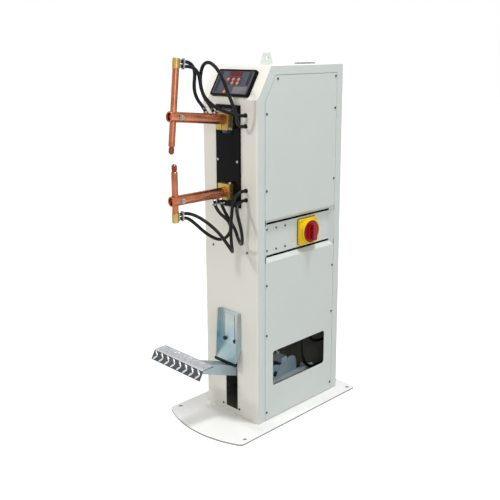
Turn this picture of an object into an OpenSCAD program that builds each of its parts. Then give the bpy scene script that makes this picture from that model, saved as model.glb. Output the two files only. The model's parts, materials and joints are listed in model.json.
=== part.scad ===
// Pedal spot welder: a folded sheet cabinet on a floor plate, two copper arms with
// water-cooled electrode holders, a foot pedal that closes the upper arm, and a console.
// Millimetres. +Z is up and the front faces -Y. The origin is the centre of the four
// floor bolts, on the underside of the floor plate.

/* [Floor plate] */
// Width of the floor plate
base_w = 366; // [356:1:420]
// Thickness of the floor plate
base_t = 6; // [4:0.5:12]
// How far the curved front of the plate stands ahead of the cabinet
base_ahead = 175; // [160:1:210]
// How far the plate stands out behind the cabinet
base_behind = 54; // [45:1:90]
// Radius of the curved front edge
base_arc_r = 387; // [340:1:600]
// Radius of the plate corners
base_corner_r = 20; // [8:1:24]
// Distance of the bolts in from the sides of the plate
bolt_edge = 18; // [14:1:30]
// Bolt spacing along the plate
bolt_span_y = 540; // [500:1:550]
// Distance of the front bolts ahead of the cabinet
bolt_ahead = 98; // [85:1:105]
// Diameter of the floor bolt holes
bolt_hole_d = 13; // [9:0.5:17]

/* [Cabinet] */
// Width of the cabinet
cab_w = 260; // [256:1:300]
// Depth of the cabinet
cab_d = 418; // [414:1:440]
// Height of the cabinet
cab_h = 1200; // [1190:1:1240]
// Height of the sloped console face
slope_rise = 104; // [100:1:108]
// Depth of the sloped console face
slope_run = 62; // [58:1:66]
// Thickness of the front and top sheet
sheet_t = 2; // [1.5:0.1:3]
// Thickness of the doubled edge around the cover panels
post_t = 4; // [3.5:0.1:5]
// Outside radius of the upright front edges
edge_r = 9; // [5:0.5:14]
// Distance of the transformer shelf below the lower arm
shelf_below = 162; // [156:1:170]

/* [Cover panels] */
// Thickness of a cover panel
panel_t = 2; // [1.5:0.1:2.2]
// Gap around a cover panel
panel_gap = 1.6; // [0.8:0.1:2.2]
// Width of the ledge that a cover panel lies on
ledge_w = 13; // [12:0.5:18]
// Border in front of a side panel
panel_front = 33; // [28:1:38]
// Border behind a side panel
panel_back = 30; // [26:1:36]
// Border above the panels
panel_top = 28; // [24:1:34]
// Border along the sloped face
panel_slope = 32; // [28:1:38]
// Border under the panels
panel_bottom = 3; // [2:0.5:6]
// Border beside the rear panel
rear_border = 20; // [16:1:28]
// Height of the lower edge of the upper side panel above the shelf
recess_above = 76; // [71:1:82]
// Depth of the upper edge of the lower side panel below the shelf
recess_below = 68; // [64:1:74]
// Depth of the switch recess
recess_d = 14; // [12:0.5:16]
// Height of the bent lip at each edge of the recess
lip_h = 13; // [8:1:14]
// Open gap between a lip and the switch panel
recess_gap = 7; // [5:0.5:9]
// Front edge of the access window
window_front = 72; // [65:1:90]
// Rear edge of the access window
window_back = 343; // [320:1:350]
// Lower edge of the access window
window_low = 121; // [110:1:130]
// Upper edge of the access window
window_high = 247; // [230:1:260]
// Corner radius of the access window
window_r = 10; // [4:1:16]
// Diameter of the cover screws
screw_d = 4; // [3:0.5:5]
// Diameter of the cover screw heads
screw_head_d = 8; // [6.5:0.5:9]
// Height of the cover screw heads
screw_head_h = 2.4; // [1.5:0.1:3]

/* [Lifting lug] */
// Length of the lug at its foot
lug_foot = 59; // [50:1:70]
// Length of the lug at its top
lug_top = 30; // [28:1:40]
// Height of the lug
lug_h = 39; // [36:1:50]
// Thickness of the lug
lug_t = 5; // [4:0.5:8]
// Diameter of the lifting hole
lug_hole_d = 14; // [10:0.5:16]
// Height of the lifting hole above the cabinet
lug_hole_up = 22; // [20:0.5:25]
// Distance of the lug behind the front face
lug_y = 175; // [150:1:200]

/* [Console] */
// Width of the console bezel
bezel_w = 176; // [170:1:190]
// Length of the bezel up the slope
bezel_l = 95; // [94:1:98]
// Height of the bezel above the sloped face
bezel_h = 11; // [10:0.5:14]
// Distance of the bezel above the lower edge of the slope
bezel_low = 7; // [4:0.5:10]
// Corner radius of the bezel
bezel_r = 9; // [7:0.5:12]
// Width of the bezel rim
bezel_rim = 6; // [5:0.5:6.5]
// Thickness of the console face plate
face_t = 4; // [3:0.2:4.5]
// Width of the display window
display_w = 58; // [50:1:62]
// Length of the display window up the slope
display_l = 15.5; // [12:0.5:16.5]
// Diameter of the console keys
key_d = 9; // [7:0.2:10]
// Height of the key tops above the console face
key_proud = 1.6; // [1:0.1:2.5]
// Travel of a key
key_travel = 0.6; // [0.3:0.1:1]
// Radial gap around a key
key_gap = 0.4; // [0.2:0.05:0.5]

/* [Main switch] */
// Distance of the switch behind the front face
switch_y = 251; // [246:1:255]
// Height of the switch above the shelf
switch_above = 4; // [0:1:8]
// Side of the square switch plate
switch_plate = 90; // [84:1:92]
// Thickness of the switch plate
switch_plate_t = 12; // [10:0.5:14]
// Outside diameter of the switch collar
collar_d = 84; // [80:1:84]
// Thickness of the collar wall
collar_wall = 3.5; // [2.5:0.1:4]
// Height of the collar
collar_h = 14; // [10:0.5:16]
// Gap between the dial and the collar
dial_gap = 0.5; // [0.3:0.1:1]
// Diameter of the switch shaft
switch_shaft_d = 12; // [8:0.5:14]
// Length of the grip on the dial
grip_l = 57; // [50:1:62]
// Width of the grip on the dial
grip_w = 20; // [14:1:24]
// Height of the grip above the dial
grip_h = 19; // [14:1:22]

/* [Arms and electrodes] */
// Diameter of both arms
arm_d = 33; // [30:0.5:34]
// Bore in the open end of an arm
arm_bore_d = 24; // [20:0.5:26]
// Distance of the electrodes ahead of the front face
throat = 230; // [226:1:234]
// Length of an arm ahead of the electrode
arm_nose = 16; // [14:0.5:20]
// Distance between the axes of the two arms when they are parallel
arm_gap = 228; // [227:0.5:229]
// Diameter of the electrode holders
holder_d = 20; // [16:0.5:22]
// Diameter of the electrode tips
tip_d = 17; // [14:0.5:18]
// Length of the electrode tips
tip_l = 23; // [18:0.5:26]
// Gap that is left between the tips when the arms are parallel
tip_gap = 0.3; // [0.2:0.1:1]
// Height of the upper holder above its arm
upper_rise = 143; // [142:0.5:144]
// Drop of the upper holder below its arm
upper_drop = 90; // [88:0.5:92]
// Drop of the lower holder below its arm
lower_drop = 38; // [36:0.5:40]
// Diameter of the water caps
cap_d = 23; // [21:0.5:25]
// Width of the water caps across their two flats
cap_w = 21; // [19:0.5:23]
// Height of the water caps
cap_h = 31; // [30:0.5:33]
// Width of the arm clamps
clamp_w = 54; // [50:0.5:56]
// Height of the upper clamp above its arm axis
upper_clamp_up = 21.5; // [20.5:0.5:22]
// Depth of the upper clamp below its arm axis
upper_clamp_down = 34; // [32:0.5:35]
// Height of the lower clamp above its arm axis
lower_clamp_up = 28; // [26:0.5:29]
// Depth of the lower clamp below its arm axis
lower_clamp_down = 25; // [22:0.5:28]
// Length of the arm clamps
clamp_l = 20; // [18:0.5:26]
// Corner radius of the arm clamps on their plain side
clamp_r = 12; // [8:0.5:14]
// Corner radius of the arm clamps on their bolted side
clamp_edge = 3; // [2:0.5:4]
// Width of the clamp slit
slit_w = 2.5; // [1.5:0.5:4]

/* [Rocker] */
// Distance of the rocker pivot behind the front face
pivot_y = 55; // [54:0.5:56]
// Distance of the rocker pivot below the cabinet top
pivot_below = 176; // [170:0.5:180]
// Angle by which the upper arm stands open
open_angle = 6; // [5.9:0.05:6.1]
// Diameter of the pivot shaft
pivot_d = 25; // [20:0.5:26]
// Width of the rocker
rocker_w = 54; // [50:0.5:55]
// Height of the rocker above its axis
rocker_up = 36; // [32:0.5:37]
// Depth of the rocker below its axis
rocker_down = 33; // [30:0.5:34]
// Distance of the push rod pin behind the pivot
fork_reach = 173; // [172:0.5:174]
// Width of the gap in the rocker fork
fork_gap = 20; // [19:0.5:22]
// Wall of the pivot bushes
bush_wall = 4; // [3:0.5:5]
// Radial running clearance of the shafts
run_gap = 0.05; // [0.02:0.01:0.1]
// Thickness of the pivot and fulcrum bracket cheeks
cheek_t = 4; // [3:0.5:5]

/* [Pedal and push rod] */
// Distance of the pedal fulcrum behind the front face
fulcrum_y = 178; // [177:0.5:179]
// Height of the pedal fulcrum
fulcrum_z = 100; // [99:0.5:101]
// Diameter of the fulcrum shaft
fulcrum_d = 20; // [16:0.5:22]
// Slope of the pedal lever at rest
lever_a = 20.2; // [19.8:0.1:20.4]
// Width of the pedal lever
lever_w = 50; // [46:0.5:52]
// Depth of the pedal lever
lever_h = 35; // [30:0.5:36]
// Sheet thickness of the pedal lever
lever_t = 4; // [3:0.5:5]
// Distance of the push rod pin from the fulcrum
crank_r = 50; // [49.5:0.1:50.5]
// Angle of the push rod pin below the fulcrum at rest
crank_a = 10.4; // [10:0.1:10.8]
// Diameter of the push rod
rod_d = 12; // [10:0.5:14]
// Diameter of the lower push rod pin
rod_pin_d = 10; // [8:0.5:11]
// Diameter of the upper push rod pin
fork_pin_d = 12; // [10:0.5:13]
// Side clearance of the push rod pins in their slots
slot_gap = 0.3; // [0.2:0.05:0.5]
// Outside diameter of the pressure spring
spring_d = 40; // [34:0.5:42]
// Wire diameter of the pressure spring
spring_wire = 6; // [4:0.5:7]
// Length of the pressure spring
spring_l = 140; // [120:1:150]
// Width of the pedal tread
tread_w = 244; // [220:1:260]
// Depth of the pedal tread
tread_d = 46; // [42:1:50]
// Thickness of the tread plate
tread_t = 3; // [2:0.5:3.5]
// Height of the pedal tread at rest
tread_z = 275; // [273:0.5:277]
// Distance of the tread edge ahead of the front face
tread_ahead = 236; // [234:1:238]
// Reach of the tread lip ahead of the tread edge
lip_ahead = 16.5; // [14:0.5:18]
// Drop of the tread lip below the tread
lip_drop = 31; // [26:0.5:34]
// Width of the pedal slot in the front face
slot_w = 58; // [56:0.5:64]
// Lower end of the pedal slot
slot_low = 19; // [14:1:24]
// Upper end of the pedal slot
slot_high = 199; // [196:0.5:200]

/* [Pedal stop] */
// Width of the stop hood
hood_w = 100; // [94:1:110]
// Lower edge of the stop hood
hood_low = 202; // [201.8:0.1:203]
// Upper edge of the stop hood
hood_high = 381; // [375:1:390]
// Sheet thickness of the stop hood
hood_t = 3; // [2:0.5:3.5]
// Depth of the hood at its upper edge
hood_top_d = 18; // [14:1:22]
// Depth of the hood at its lower edge
hood_low_d = 31; // [28:1:34]
// Height at which the back of the hood bends outwards
hood_bend = 255; // [250:1:258]
// Distance of the adjusting slots from the middle
hood_slot_x = 24.5; // [22:0.5:28]
// Width of the adjusting slots
hood_slot_w = 11.5; // [9:0.5:12]
// Lower end of the adjusting slots
hood_slot_low = 269; // [266:1:272]
// Upper end of the adjusting slots
hood_slot_high = 368; // [350:1:370]
// Height of the rubber edge under the hood
rubber_h = 5.5; // [4:0.5:5.5]

/* [Water and current] */
// Outside diameter of the cooling hoses
hose_d = 10; // [8:0.5:11]
// Diameter of the hose nipples
nipple_d = 8; // [6:0.5:9]
// Length of the hose nipples
nipple_l = 11.5; // [10:0.5:12]
// Sideways place of the hose bushes
hose_x = 80; // [78:0.5:82]
// Thickness of the hose bush flange
hose_bush_t = 6; // [4:0.5:6]
// Diameter of the hose bush in the front sheet
hose_bush_d = 14; // [12:0.5:15]
// Thickness of the insulating plate
insul_t = 8; // [6:0.5:8]
// Width of the insulating plate
insul_w = 110; // [104:1:116]
// Width of the lower conductor
bar_w = 48; // [44:0.5:50]
// Height of the lower conductor
bar_h = 36; // [32:0.5:38]

/* [Hidden] */

$fn = 48;
eps = 0.5;
screw_gap = 0.2;
fit_gap = 0.03;
slope_a = atan2(slope_rise, slope_run);
front_h = cab_h - slope_rise;
pivot_z = cab_h - pivot_below;
lower_arm_z = pivot_z - arm_gap;
shelf_z = lower_arm_z - shelf_below;
recess_top = shelf_z + recess_above;
recess_bottom = shelf_z - recess_below;
switch_z = shelf_z + switch_above;
bolt_span_x = base_w - 2 * bolt_edge;
half_w = cab_w / 2;
inner_w = cab_w - 2 * post_t;
ledge_t = post_t - panel_t;

// Floor plate outline
arc_y = base_arc_r - base_ahead;
plate_back = cab_d + base_behind;
corner_x = base_w / 2 - base_corner_r;
corner_y = arc_y - sqrt(pow(base_arc_r - base_corner_r, 2) - pow(corner_x, 2));
tangent_x = corner_x * base_arc_r / (base_arc_r - base_corner_r);

// Cover screws, as (y, z) on the sides and (x, z) at the back
screw_in = 8;
screw_front = panel_front + screw_in;
screw_back = cab_d - panel_back - screw_in;
panel_high = cab_h - panel_top;
screw_high = panel_high - 12;
screw_corner = slope_y(panel_high, panel_slope) + 9;
screw_rows = [panel_bottom + 28, window_high + 65, recess_bottom - 78, recess_top + 96, front_h - 44];
side_screws = concat([[screw_corner, screw_high], [screw_back, screw_high]],
    [for (z = screw_rows) [screw_front, z]], [for (z = screw_rows) [screw_back, z]]);
rear_panel_low = 12;
rear_screw_x = half_w - rear_border - screw_in;
rear_screw_low = rear_panel_low + 12;
rear_screw_step = (panel_high - 12 - rear_screw_low) / 3;
rear_screws = [for (s = [-1, 1], i = [0:3]) [s * rear_screw_x, rear_screw_low + i * rear_screw_step]];

// Small screws of the switch panel and of the front sheet
tray_low = recess_bottom + lip_h + recess_gap;
tray_high = recess_top - lip_h - recess_gap;
tray_x = half_w - recess_d;
tray_front = panel_front + panel_gap;
tray_back = cab_d - panel_back - panel_gap;
tray_bend = 9;
tray_land = 4;
tray_clear = 1.4;
lip_t = 2.5;
tray_screws = [for (i = [0:2], z = [tray_low + 16, tray_high - 16]) [panel_front + 23 + 44 * i, z]];
small_screws = [[-84, shelf_z - 36], [81, shelf_z - 35], [-43, slot_low + 4], [38, slot_low + 6]];
plate_screw_x = 46;
plate_screw_z = lower_arm_z + 102;
hood_bolt_d = 8;
hood_bolt_z = hood_slot_low + hood_slot_w / 2;
hood_bolt_af = 13;
washer_t = 1.6;

// Switch behind the side
switch_block = 44;
switch_depth = 40;
dial_d = collar_d - 2 * collar_wall - 2 * dial_gap;
dial_t = 8;
dial_lift = 5;

// Console, measured from the sloped face
face_z = bezel_h - face_t - 2;
face_gap = 0.2;
face_w = bezel_w - 2 * bezel_rim;
face_l = bezel_l - 2 * bezel_rim;
face_r = bezel_r - bezel_rim + 1;
key_flange_t = 1;
display_s = 85;
keys = [[-28, 65], [-4, 65], [20, 65], [-4, 52], [20, 52], [-25, 20]];

// Openings in the front sheet, as low and high ends
rocker_hole = [pivot_z - 59, pivot_z + 46];
bar_hole = [lower_arm_z - 34, lower_arm_z + 36];
insul_low = lower_arm_z - 50;
insul_high = pivot_z + 54;
hose_bush_z = [lower_arm_z - 20, lower_arm_z + 11, pivot_z - 10, pivot_z + 24];

// Rocker frame: y and z from the pivot axis, with the upper arm level
rocker_front = -pivot_y - insul_t - 2.5;
rocker_waist = 92;
rocker_tail = 250;
tail_half = 20;
upper_hole_y = -pivot_y - throat;
arm_front = upper_hole_y - arm_nose;
visor_t = 3;
visor_low = upper_clamp_up + 0.4;
visor_front = rocker_front - clamp_l - 3;
lower_bolt_x = clamp_w / 2 - 5.5;
upper_bolt_z = 7 - upper_clamp_down;
clamp_bolt_d = 6;
upper_nipple_y = [-138, -104];
upper_tilt = 42;
upper_boss = 28;
lower_tilt = 15;
lower_boss = 18.5;
boss_d = 13;
cap_nipple_z = [9, 23];
lower_cap_low = lower_drop + cap_h;
cross_back = 20;
cross_d = 8;
tip_neck = tip_d / 2 - 1.2;
tip_cone = 5.5;
tip_face = 8;
tip_end = upper_drop + tip_l;
lower_top = pivot_z - lower_arm_z - tip_end - tip_gap - tip_l;
lower_nipple_y = [-72, -45];
lower_bar_front = -insul_t;

// Push rod, at rest
rod_y = fulcrum_y + crank_r * cos(crank_a);
rod_pin_z = fulcrum_z - crank_r * sin(crank_a);
fork_pin_z = pivot_z - fork_reach * sin(open_angle);
collar_r = spring_d / 2 + 2;
rod_collar_t = 8;
spring_low = shelf_z - 134;
rod_slot = rod_pin_d + 2 * slot_gap;
fork_slot = fork_pin_d + 2 * slot_gap;
slot_play = 3;
guide_low = fulcrum_z + 30;
guide_high = fulcrum_z + 50;
bracket_in = lever_w / 2 + 11;
bracket_back = fulcrum_y + 118;
lever_top = tread_d + 40 - tread_ahead;
weight_back = 194;
weight_d = 25;
weight_x = bracket_in + 19;

// Hoses, as route points with heights from the arm axes, between their two ends
hose_gap = 0.3;
upper_link_route = concat([upper_cap_end(1, 0), upper_cap_end(1, 10)], raised(pivot_z,
    [[0, -165, 189], [0, -152.5, 182.5], [0, -144, 171.5], [0, -140.5, 157.5], [0, -141, 142],
    [0, -143, 126], [0, -143, 110.5], [0, -140, 95.5], [0, -134, 82], [0, -126.4, 71.1],
    [0, -118.4, 62.5]]), [upper_arm_end(0, 10), upper_arm_end(0, 0)]);
upper_feed_route = concat([upper_cap_end(0, hose_gap), upper_cap_end(0, 10)], raised(pivot_z,
    [[3, -166.5, 176.8], [9, -153.5, 172.6], [13.5, -143.5, 163], [18, -138.5, 148], [22, -138, 130],
    [26, -137, 110], [31, -130, 88], [37.5, -115, 68.5], [46, -93, 51], [57, -69, 38.5],
    [68.5, -47.5, 30], [77, -30, 25.5]]), [bush_end(3, 10), bush_end(3, 0)]);
upper_return_route = concat([upper_arm_end(1, hose_gap), upper_arm_end(1, 12)], raised(pivot_z,
    [[0.8, -90.4, 66.2], [2.5, -104.5, 81.1], [5, -117, 104], [8, -125, 130], [13.5, -127.5, 154.5],
    [27, -131.5, 176], [47, -135.5, 187.5], [67, -135, 187.5], [85, -130, 174.5], [96, -121.5, 153],
    [101, -109, 124], [102.5, -94, 92], [102, -79.5, 64], [100, -67, 42], [96.5, -57.5, 24],
    [91.5, -49.5, 8.5], [86, -38.5, -3], [82, -26.5, -8.7]]), [bush_end(2, 10), bush_end(2, 0)]);
lower_feed_route = concat([lower_cap_end(1, 0), lower_cap_end(1, 12)], raised(lower_arm_z,
    [[6, -177, -48], [22, -159, -59], [49, -146, -78], [80, -139, -101], [106, -134, -125],
    [120, -124, -152], [119.5, -107, -176], [104, -88, -187], [85, -72.5, -178], [72, -63, -155],
    [69, -61, -125], [72, -62, -88], [75, -61.5, -55], [77, -58, -25], [79, -48, -2.5],
    [80, -32, 9]]), [bush_end(1, 10), bush_end(1, 0)]);
lower_link_route = concat([lower_cap_end(0, 0), lower_cap_end(0, 8)], raised(lower_arm_z,
    [[0.5, -185.5, -61.5], [2.5, -173, -69], [6.5, -156, -84], [11, -139, -101], [16, -122, -117.5],
    [23, -102, -133], [33, -80.5, -143.5], [44, -62.5, -140], [51.5, -51, -124.5],
    [53, -47.5, -105], [47.5, -51.5, -87], [37, -58.5, -73.5], [24, -66.5, -60.5]]),
    [lower_arm_end(0, 12), lower_arm_end(0, 0)]);
lower_return_route = concat([lower_arm_end(1, 0), lower_arm_end(1, 12)], raised(lower_arm_z,
    [[19, -41.5, -62], [27.5, -34, -90], [37, -28, -118], [50.5, -31.5, -142], [72, -44, -155.5],
    [95, -57.5, -151.5], [111, -67, -132], [117, -71, -106], [114.5, -71.5, -82], [107, -68.5, -61],
    [97.5, -61.5, -44], [88, -50, -31], [82, -35, -23]]), [bush_end(0, 10), bush_end(0, 0)]);
hose_sides = 10;
tail_z = [90, 185];
tail_in = cab_d - 14;
riser_y = [283, 308];
hose_bend = 70;
bush_back = 12;
gland_x = -60;
gland_z = 150;
gland_d = 25;
cable_d = 13;

// Inside the cabinet
shelf_t = 4;
shelf_side = 60;
shelf_back = tray_back + 3;
coil_front = rod_y + spring_d / 2 + 5;
core_x = -20;
core_w = 130;
core_h = 246;
core_front = coil_front + 40;
core_back = core_front + 80;
limb_w = 36;
window_w = 32;
yoke_h = 30;
coil_gap = 0.5;
coil_out = 22;
lead_x = 19;
lead_t = 11;
shunt_t = 9;
shunt_top = lower_arm_z + 116;
shunt_y = pivot_y + 57;

// Colours
cream = [0.85, 0.84, 0.80];
grey = [0.78, 0.80, 0.80];
zinc = [0.66, 0.70, 0.74];
copper = [0.76, 0.46, 0.30];
brass = [0.72, 0.62, 0.32];
black = [0.10, 0.10, 0.11];
alloy = [0.80, 0.81, 0.82];
iron = [0.35, 0.36, 0.38];

// Height of the lever centre line at a depth y, moved square to the lever by off
function lever_z(y, off) = fulcrum_z + (fulcrum_y - y) * tan(lever_a) + off / cos(lever_a);
// The sloped face moved inwards by m: its height at a depth y, and its depth at a height z
function slope_z(y, m) = front_h + y * tan(slope_a) - m / cos(slope_a);
function slope_y(z, m) = (z - front_h + m / cos(slope_a)) / tan(slope_a);
// A point of the rocker frame in the cabinet's frame
function from_rocker(y, z) = [0, pivot_y + y * cos(open_angle) + z * sin(open_angle),
    pivot_z - y * sin(open_angle) + z * cos(open_angle)];
// Underside of the open rocker at a depth y
function rocker_low(y) = pivot_z - (y - pivot_y) * tan(open_angle) - rocker_down / cos(open_angle);
// Hose ends at a distance out from nipple k of a cap or an arm, or from bush k
function upper_cap_end(k, out) = from_rocker(upper_hole_y + cap_w / 2 + nipple_l + out,
    upper_rise + cap_nipple_z[k]);
function upper_arm_end(k, out) = let (r = upper_boss + nipple_l + out)
    from_rocker(upper_nipple_y[k] - r * sin(upper_tilt), r * cos(upper_tilt));
function lower_cap_end(k, out) = [0, cap_w / 2 + nipple_l + out - throat,
    lower_arm_z - lower_cap_low + 1 + cap_nipple_z[k]];
function lower_arm_end(k, out) = let (r = lower_boss + nipple_l + out)
    [r * sin(lower_tilt), lower_nipple_y[k], lower_arm_z - r * cos(lower_tilt)];
function bush_end(k, out) = [hose_x, -hose_bush_t - out, hose_bush_z[k]];
function raised(z, p) = [for (q = p) q + [0, 0, z]];
// Least gap between two stretches of a round tube that are at least skip points apart
function least_gap(p, d, skip) = min([for (i = [0:len(p) - skip - 1], j = [i + skip:len(p) - 1])
    norm(p[i] - p[j])]) - d;
// Directions for sweeping a round tube along points
function unit(v) = v / norm(v);
function heading(p, i) = unit(p[min(i + 1, len(p) - 1)] - p[max(i - 1, 0)]);
function square_to(u, t) = unit(u - (u * t) * t);
function sides_of(p, i, u) = i == len(p) ? [] :
    let (v = square_to(u, heading(p, i))) concat([v], sides_of(p, i + 1, v));

// Places and basic shapes
module cab() {
    translate([0, bolt_ahead - bolt_span_y / 2, base_t]) children();
}
module at_rocker() {
    cab() translate([0, pivot_y, pivot_z]) rotate([-open_angle, 0, 0]) children();
}
module at_lower_arm() {
    cab() translate([0, 0, lower_arm_z]) children();
}
module on_slope() {
    cab() translate([0, 0, front_h]) rotate([slope_a, 0, 0]) children();
}
module at_switch() {
    cab() translate([tray_x, switch_y, switch_z]) rotate([90, 0, 90]) children();
}
module along_x(x0, x1) {
    translate([x0, 0, 0]) rotate([90, 0, 90]) linear_extrude(x1 - x0) children();
}
module along_y(y0, y1) {
    translate([0, y1, 0]) rotate([90, 0, 0]) linear_extrude(y1 - y0) children();
}
module rod_x(d, x0, x1) {
    translate([x0, 0, 0]) rotate([0, 90, 0]) cylinder(d = d, h = x1 - x0);
}
module rod_y(d, y0, y1) {
    translate([0, y1, 0]) rotate([90, 0, 0]) cylinder(d = d, h = y1 - y0);
}
module block(x0, x1, y0, y1, z0, z1) {
    translate([x0, y0, z0]) cube([x1 - x0, y1 - y0, z1 - z0]);
}
module rounded(w, h, r) {
    square([w - 2 * r, h], center = true);
    square([w, h - 2 * r], center = true);
    for (a = [-1, 1], b = [-1, 1]) translate([a * (w / 2 - r), b * (h / 2 - r)]) circle(r);
}
module slot_shape(w, l) {
    square([w, l - w], center = true);
    for (s = [-1, 1]) translate([0, s * (l - w) / 2]) circle(d = w);
}
module screw(head_d, head_h, d, l) {
    cylinder(d = head_d, h = head_h, $fn = 24);
    translate([0, 0, -l]) cylinder(d = d, h = l + eps, $fn = 24);
}
// A screw whose round head has a hexagonal socket
module socket_screw(head_d, head_h, d, l) {
    difference() {
        screw(head_d, head_h, d, l);
        translate([0, 0, head_h / 3]) cylinder(d = d, h = head_h, $fn = 6);
    }
}
module hex_bolt(af, head_h, d, l) {
    cylinder(d = af / cos(30), h = head_h, $fn = 6);
    translate([0, 0, -l]) cylinder(d = d, h = l + eps, $fn = 24);
}
module tube_along(p, d, sides) {
    n = len(p);
    u = sides_of(p, 0, [1, 0.05, 0]);
    rings = [for (i = [0:n - 1], k = [0:sides - 1])
        let (a = 360 * k / sides, t = heading(p, i))
        p[i] + d / 2 * (cos(a) * u[i] + sin(a) * cross(t, u[i]))];
    walls = [for (i = [0:n - 2], k = [0:sides - 1], h = [0, 1])
        let (m = (k + 1) % sides, b = i * sides, c = b + sides)
        h == 0 ? [b + k, c + k, c + m] : [b + k, c + m, b + m]];
    first = [[for (k = [0:sides - 1]) k]];
    last = [[for (k = [sides - 1:-1:0]) (n - 1) * sides + k]];
    polyhedron(rings, concat(first, walls, last));
}

// Side outline of the cabinet, drawn in by a front, back, top, slope and bottom border
module side_outline(f, b, t, s, low) {
    polygon([[f, low], [cab_d - b, low], [cab_d - b, cab_h - t],
        [slope_y(cab_h - t, s), cab_h - t], [f, slope_z(f, s)]]);
}
module panel_outline(m) {
    side_outline(panel_front + m, panel_back + m, panel_top + m, panel_slope + m, panel_bottom + m);
}
module plan(w, front, r) {
    translate([-w / 2, front + r]) square([w, cab_d - front - r]);
    translate([r - w / 2, front]) square([w - 2 * r, cab_d - front]);
    for (s = [-1, 1]) translate([s * (w / 2 - r), front + r]) circle(r);
}
module side_screw_holes(d) {
    for (q = side_screws) translate([0, q[0], q[1]]) rod_x(d, half_w - post_t - eps, half_w + eps);
}
module rear_screw_holes(d) {
    for (q = rear_screws) translate([q[0], 0, q[1]]) rod_y(d, cab_d - post_t - eps, cab_d + eps);
}

module base_plate() {
    color(cream) cab() translate([0, 0, -base_t]) linear_extrude(base_t) difference() {
        union() {
            intersection() {
                translate([0, arc_y]) circle(base_arc_r, $fn = 180);
                translate([-tangent_x, -base_ahead]) square([2 * tangent_x, base_ahead]);
            }
            translate([-base_w / 2, corner_y]) square([base_w, plate_back - base_corner_r - corner_y]);
            translate([-corner_x, 0]) square([2 * corner_x, plate_back]);
            for (s = [-1, 1], y = [corner_y, plate_back - base_corner_r])
                translate([s * corner_x, y]) circle(base_corner_r);
        }
        for (s = [-1, 1], y = [0, bolt_span_y])
            translate([s * bolt_span_x / 2, y - bolt_ahead]) circle(d = bolt_hole_d);
    }
}

module cabinet_casing() {
    color(cream) cab() {
        difference() {
            intersection() {
                along_x(-half_w, half_w) side_outline(0, 0, 0, 0, 0);
                linear_extrude(cab_h) plan(cab_w, 0, edge_r);
            }
            intersection() {
                along_x(-inner_w / 2, inner_w / 2)
                    side_outline(sheet_t, post_t, sheet_t, sheet_t, -eps);
                translate([0, 0, -1]) linear_extrude(cab_h) plan(inner_w, sheet_t, edge_r - sheet_t);
            }
            for (m = [0, 1]) mirror([m, 0, 0]) {
                along_x(half_w - panel_t, half_w + eps) panel_outline(0);
                along_x(inner_w / 2 - eps, half_w) panel_outline(ledge_w);
                side_screw_holes(screw_d + 2 * screw_gap);
            }
            block(inner_w / 2 - eps, half_w, tray_front + tray_land - tray_clear,
                tray_back - tray_land + tray_clear, recess_bottom - lip_t, recess_top + lip_t);
            block(-half_w + rear_border, half_w - rear_border, cab_d - panel_t, cab_d + eps,
                rear_panel_low, panel_high);
            block(-half_w + rear_border + ledge_w, half_w - rear_border - ledge_w,
                cab_d - post_t - eps, cab_d, rear_panel_low + ledge_w, panel_high - ledge_w);
            rear_screw_holes(screw_d + 2 * screw_gap);
            block(-slot_w / 2, slot_w / 2, -eps, sheet_t + eps, slot_low, slot_high);
            block(-rocker_w / 2 - 6, rocker_w / 2 + 6, -eps, sheet_t + eps,
                rocker_hole[0], rocker_hole[1]);
            block(-bar_w / 2 - 10, bar_w / 2 + 10, -eps, sheet_t + eps, bar_hole[0], bar_hole[1]);
            for (z = hose_bush_z) translate([hose_x, 0, z])
                rod_y(hose_bush_d + 2 * fit_gap, -eps, sheet_t + eps);
            for (s = [-1, 1]) translate([s * plate_screw_x, 0, plate_screw_z])
                rod_y(screw_d + 2 * screw_gap, -eps, sheet_t + eps);
            for (s = [-1, 1]) translate([s * hood_slot_x, 0, hood_bolt_z])
                rod_y(hood_bolt_d + 2 * screw_gap, -eps, sheet_t + eps);
            for (q = small_screws) translate([q[0], 0, q[1]])
                rod_y(screw_d + 2 * screw_gap, -eps, sheet_t + eps);
        }
        block(-inner_w / 2, shelf_side, coil_front, cab_d - post_t, shelf_z - shelf_t, shelf_z);
        block(-inner_w / 2, inner_w / 2, shelf_back, cab_d - post_t, shelf_z - shelf_t, shelf_z);
    }
}

module upper_side_panel() {
    color(grey) cab() difference() {
        union() {
            intersection() {
                along_x(half_w - panel_t, half_w) panel_outline(panel_gap);
                block(0, cab_w, 0, cab_d, recess_top, cab_h);
            }
            along_y(tray_front + tray_land + 2, tray_back - tray_land - 2)
                polygon([[half_w, recess_top], [half_w, recess_top + lip_t],
                    [tray_x, recess_top - lip_h + lip_t], [tray_x, recess_top - lip_h]]);
        }
        side_screw_holes(screw_d + 2 * screw_gap);
    }
}

module lower_side_panel() {
    color(grey) cab() difference() {
        union() {
            intersection() {
                along_x(half_w - panel_t, half_w) panel_outline(panel_gap);
                block(0, cab_w, 0, cab_d, 0, recess_bottom);
            }
            along_y(tray_front + tray_land + 2, tray_back - tray_land - 2)
                polygon([[half_w, recess_bottom], [half_w, recess_bottom - lip_t],
                    [tray_x, recess_bottom + lip_h - lip_t], [tray_x, recess_bottom + lip_h]]);
        }
        along_x(half_w - panel_t - eps, half_w + eps)
            translate([(window_front + window_back) / 2, (window_low + window_high) / 2])
                rounded(window_back - window_front, window_high - window_low, window_r);
        side_screw_holes(screw_d + 2 * screw_gap);
    }
}

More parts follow.
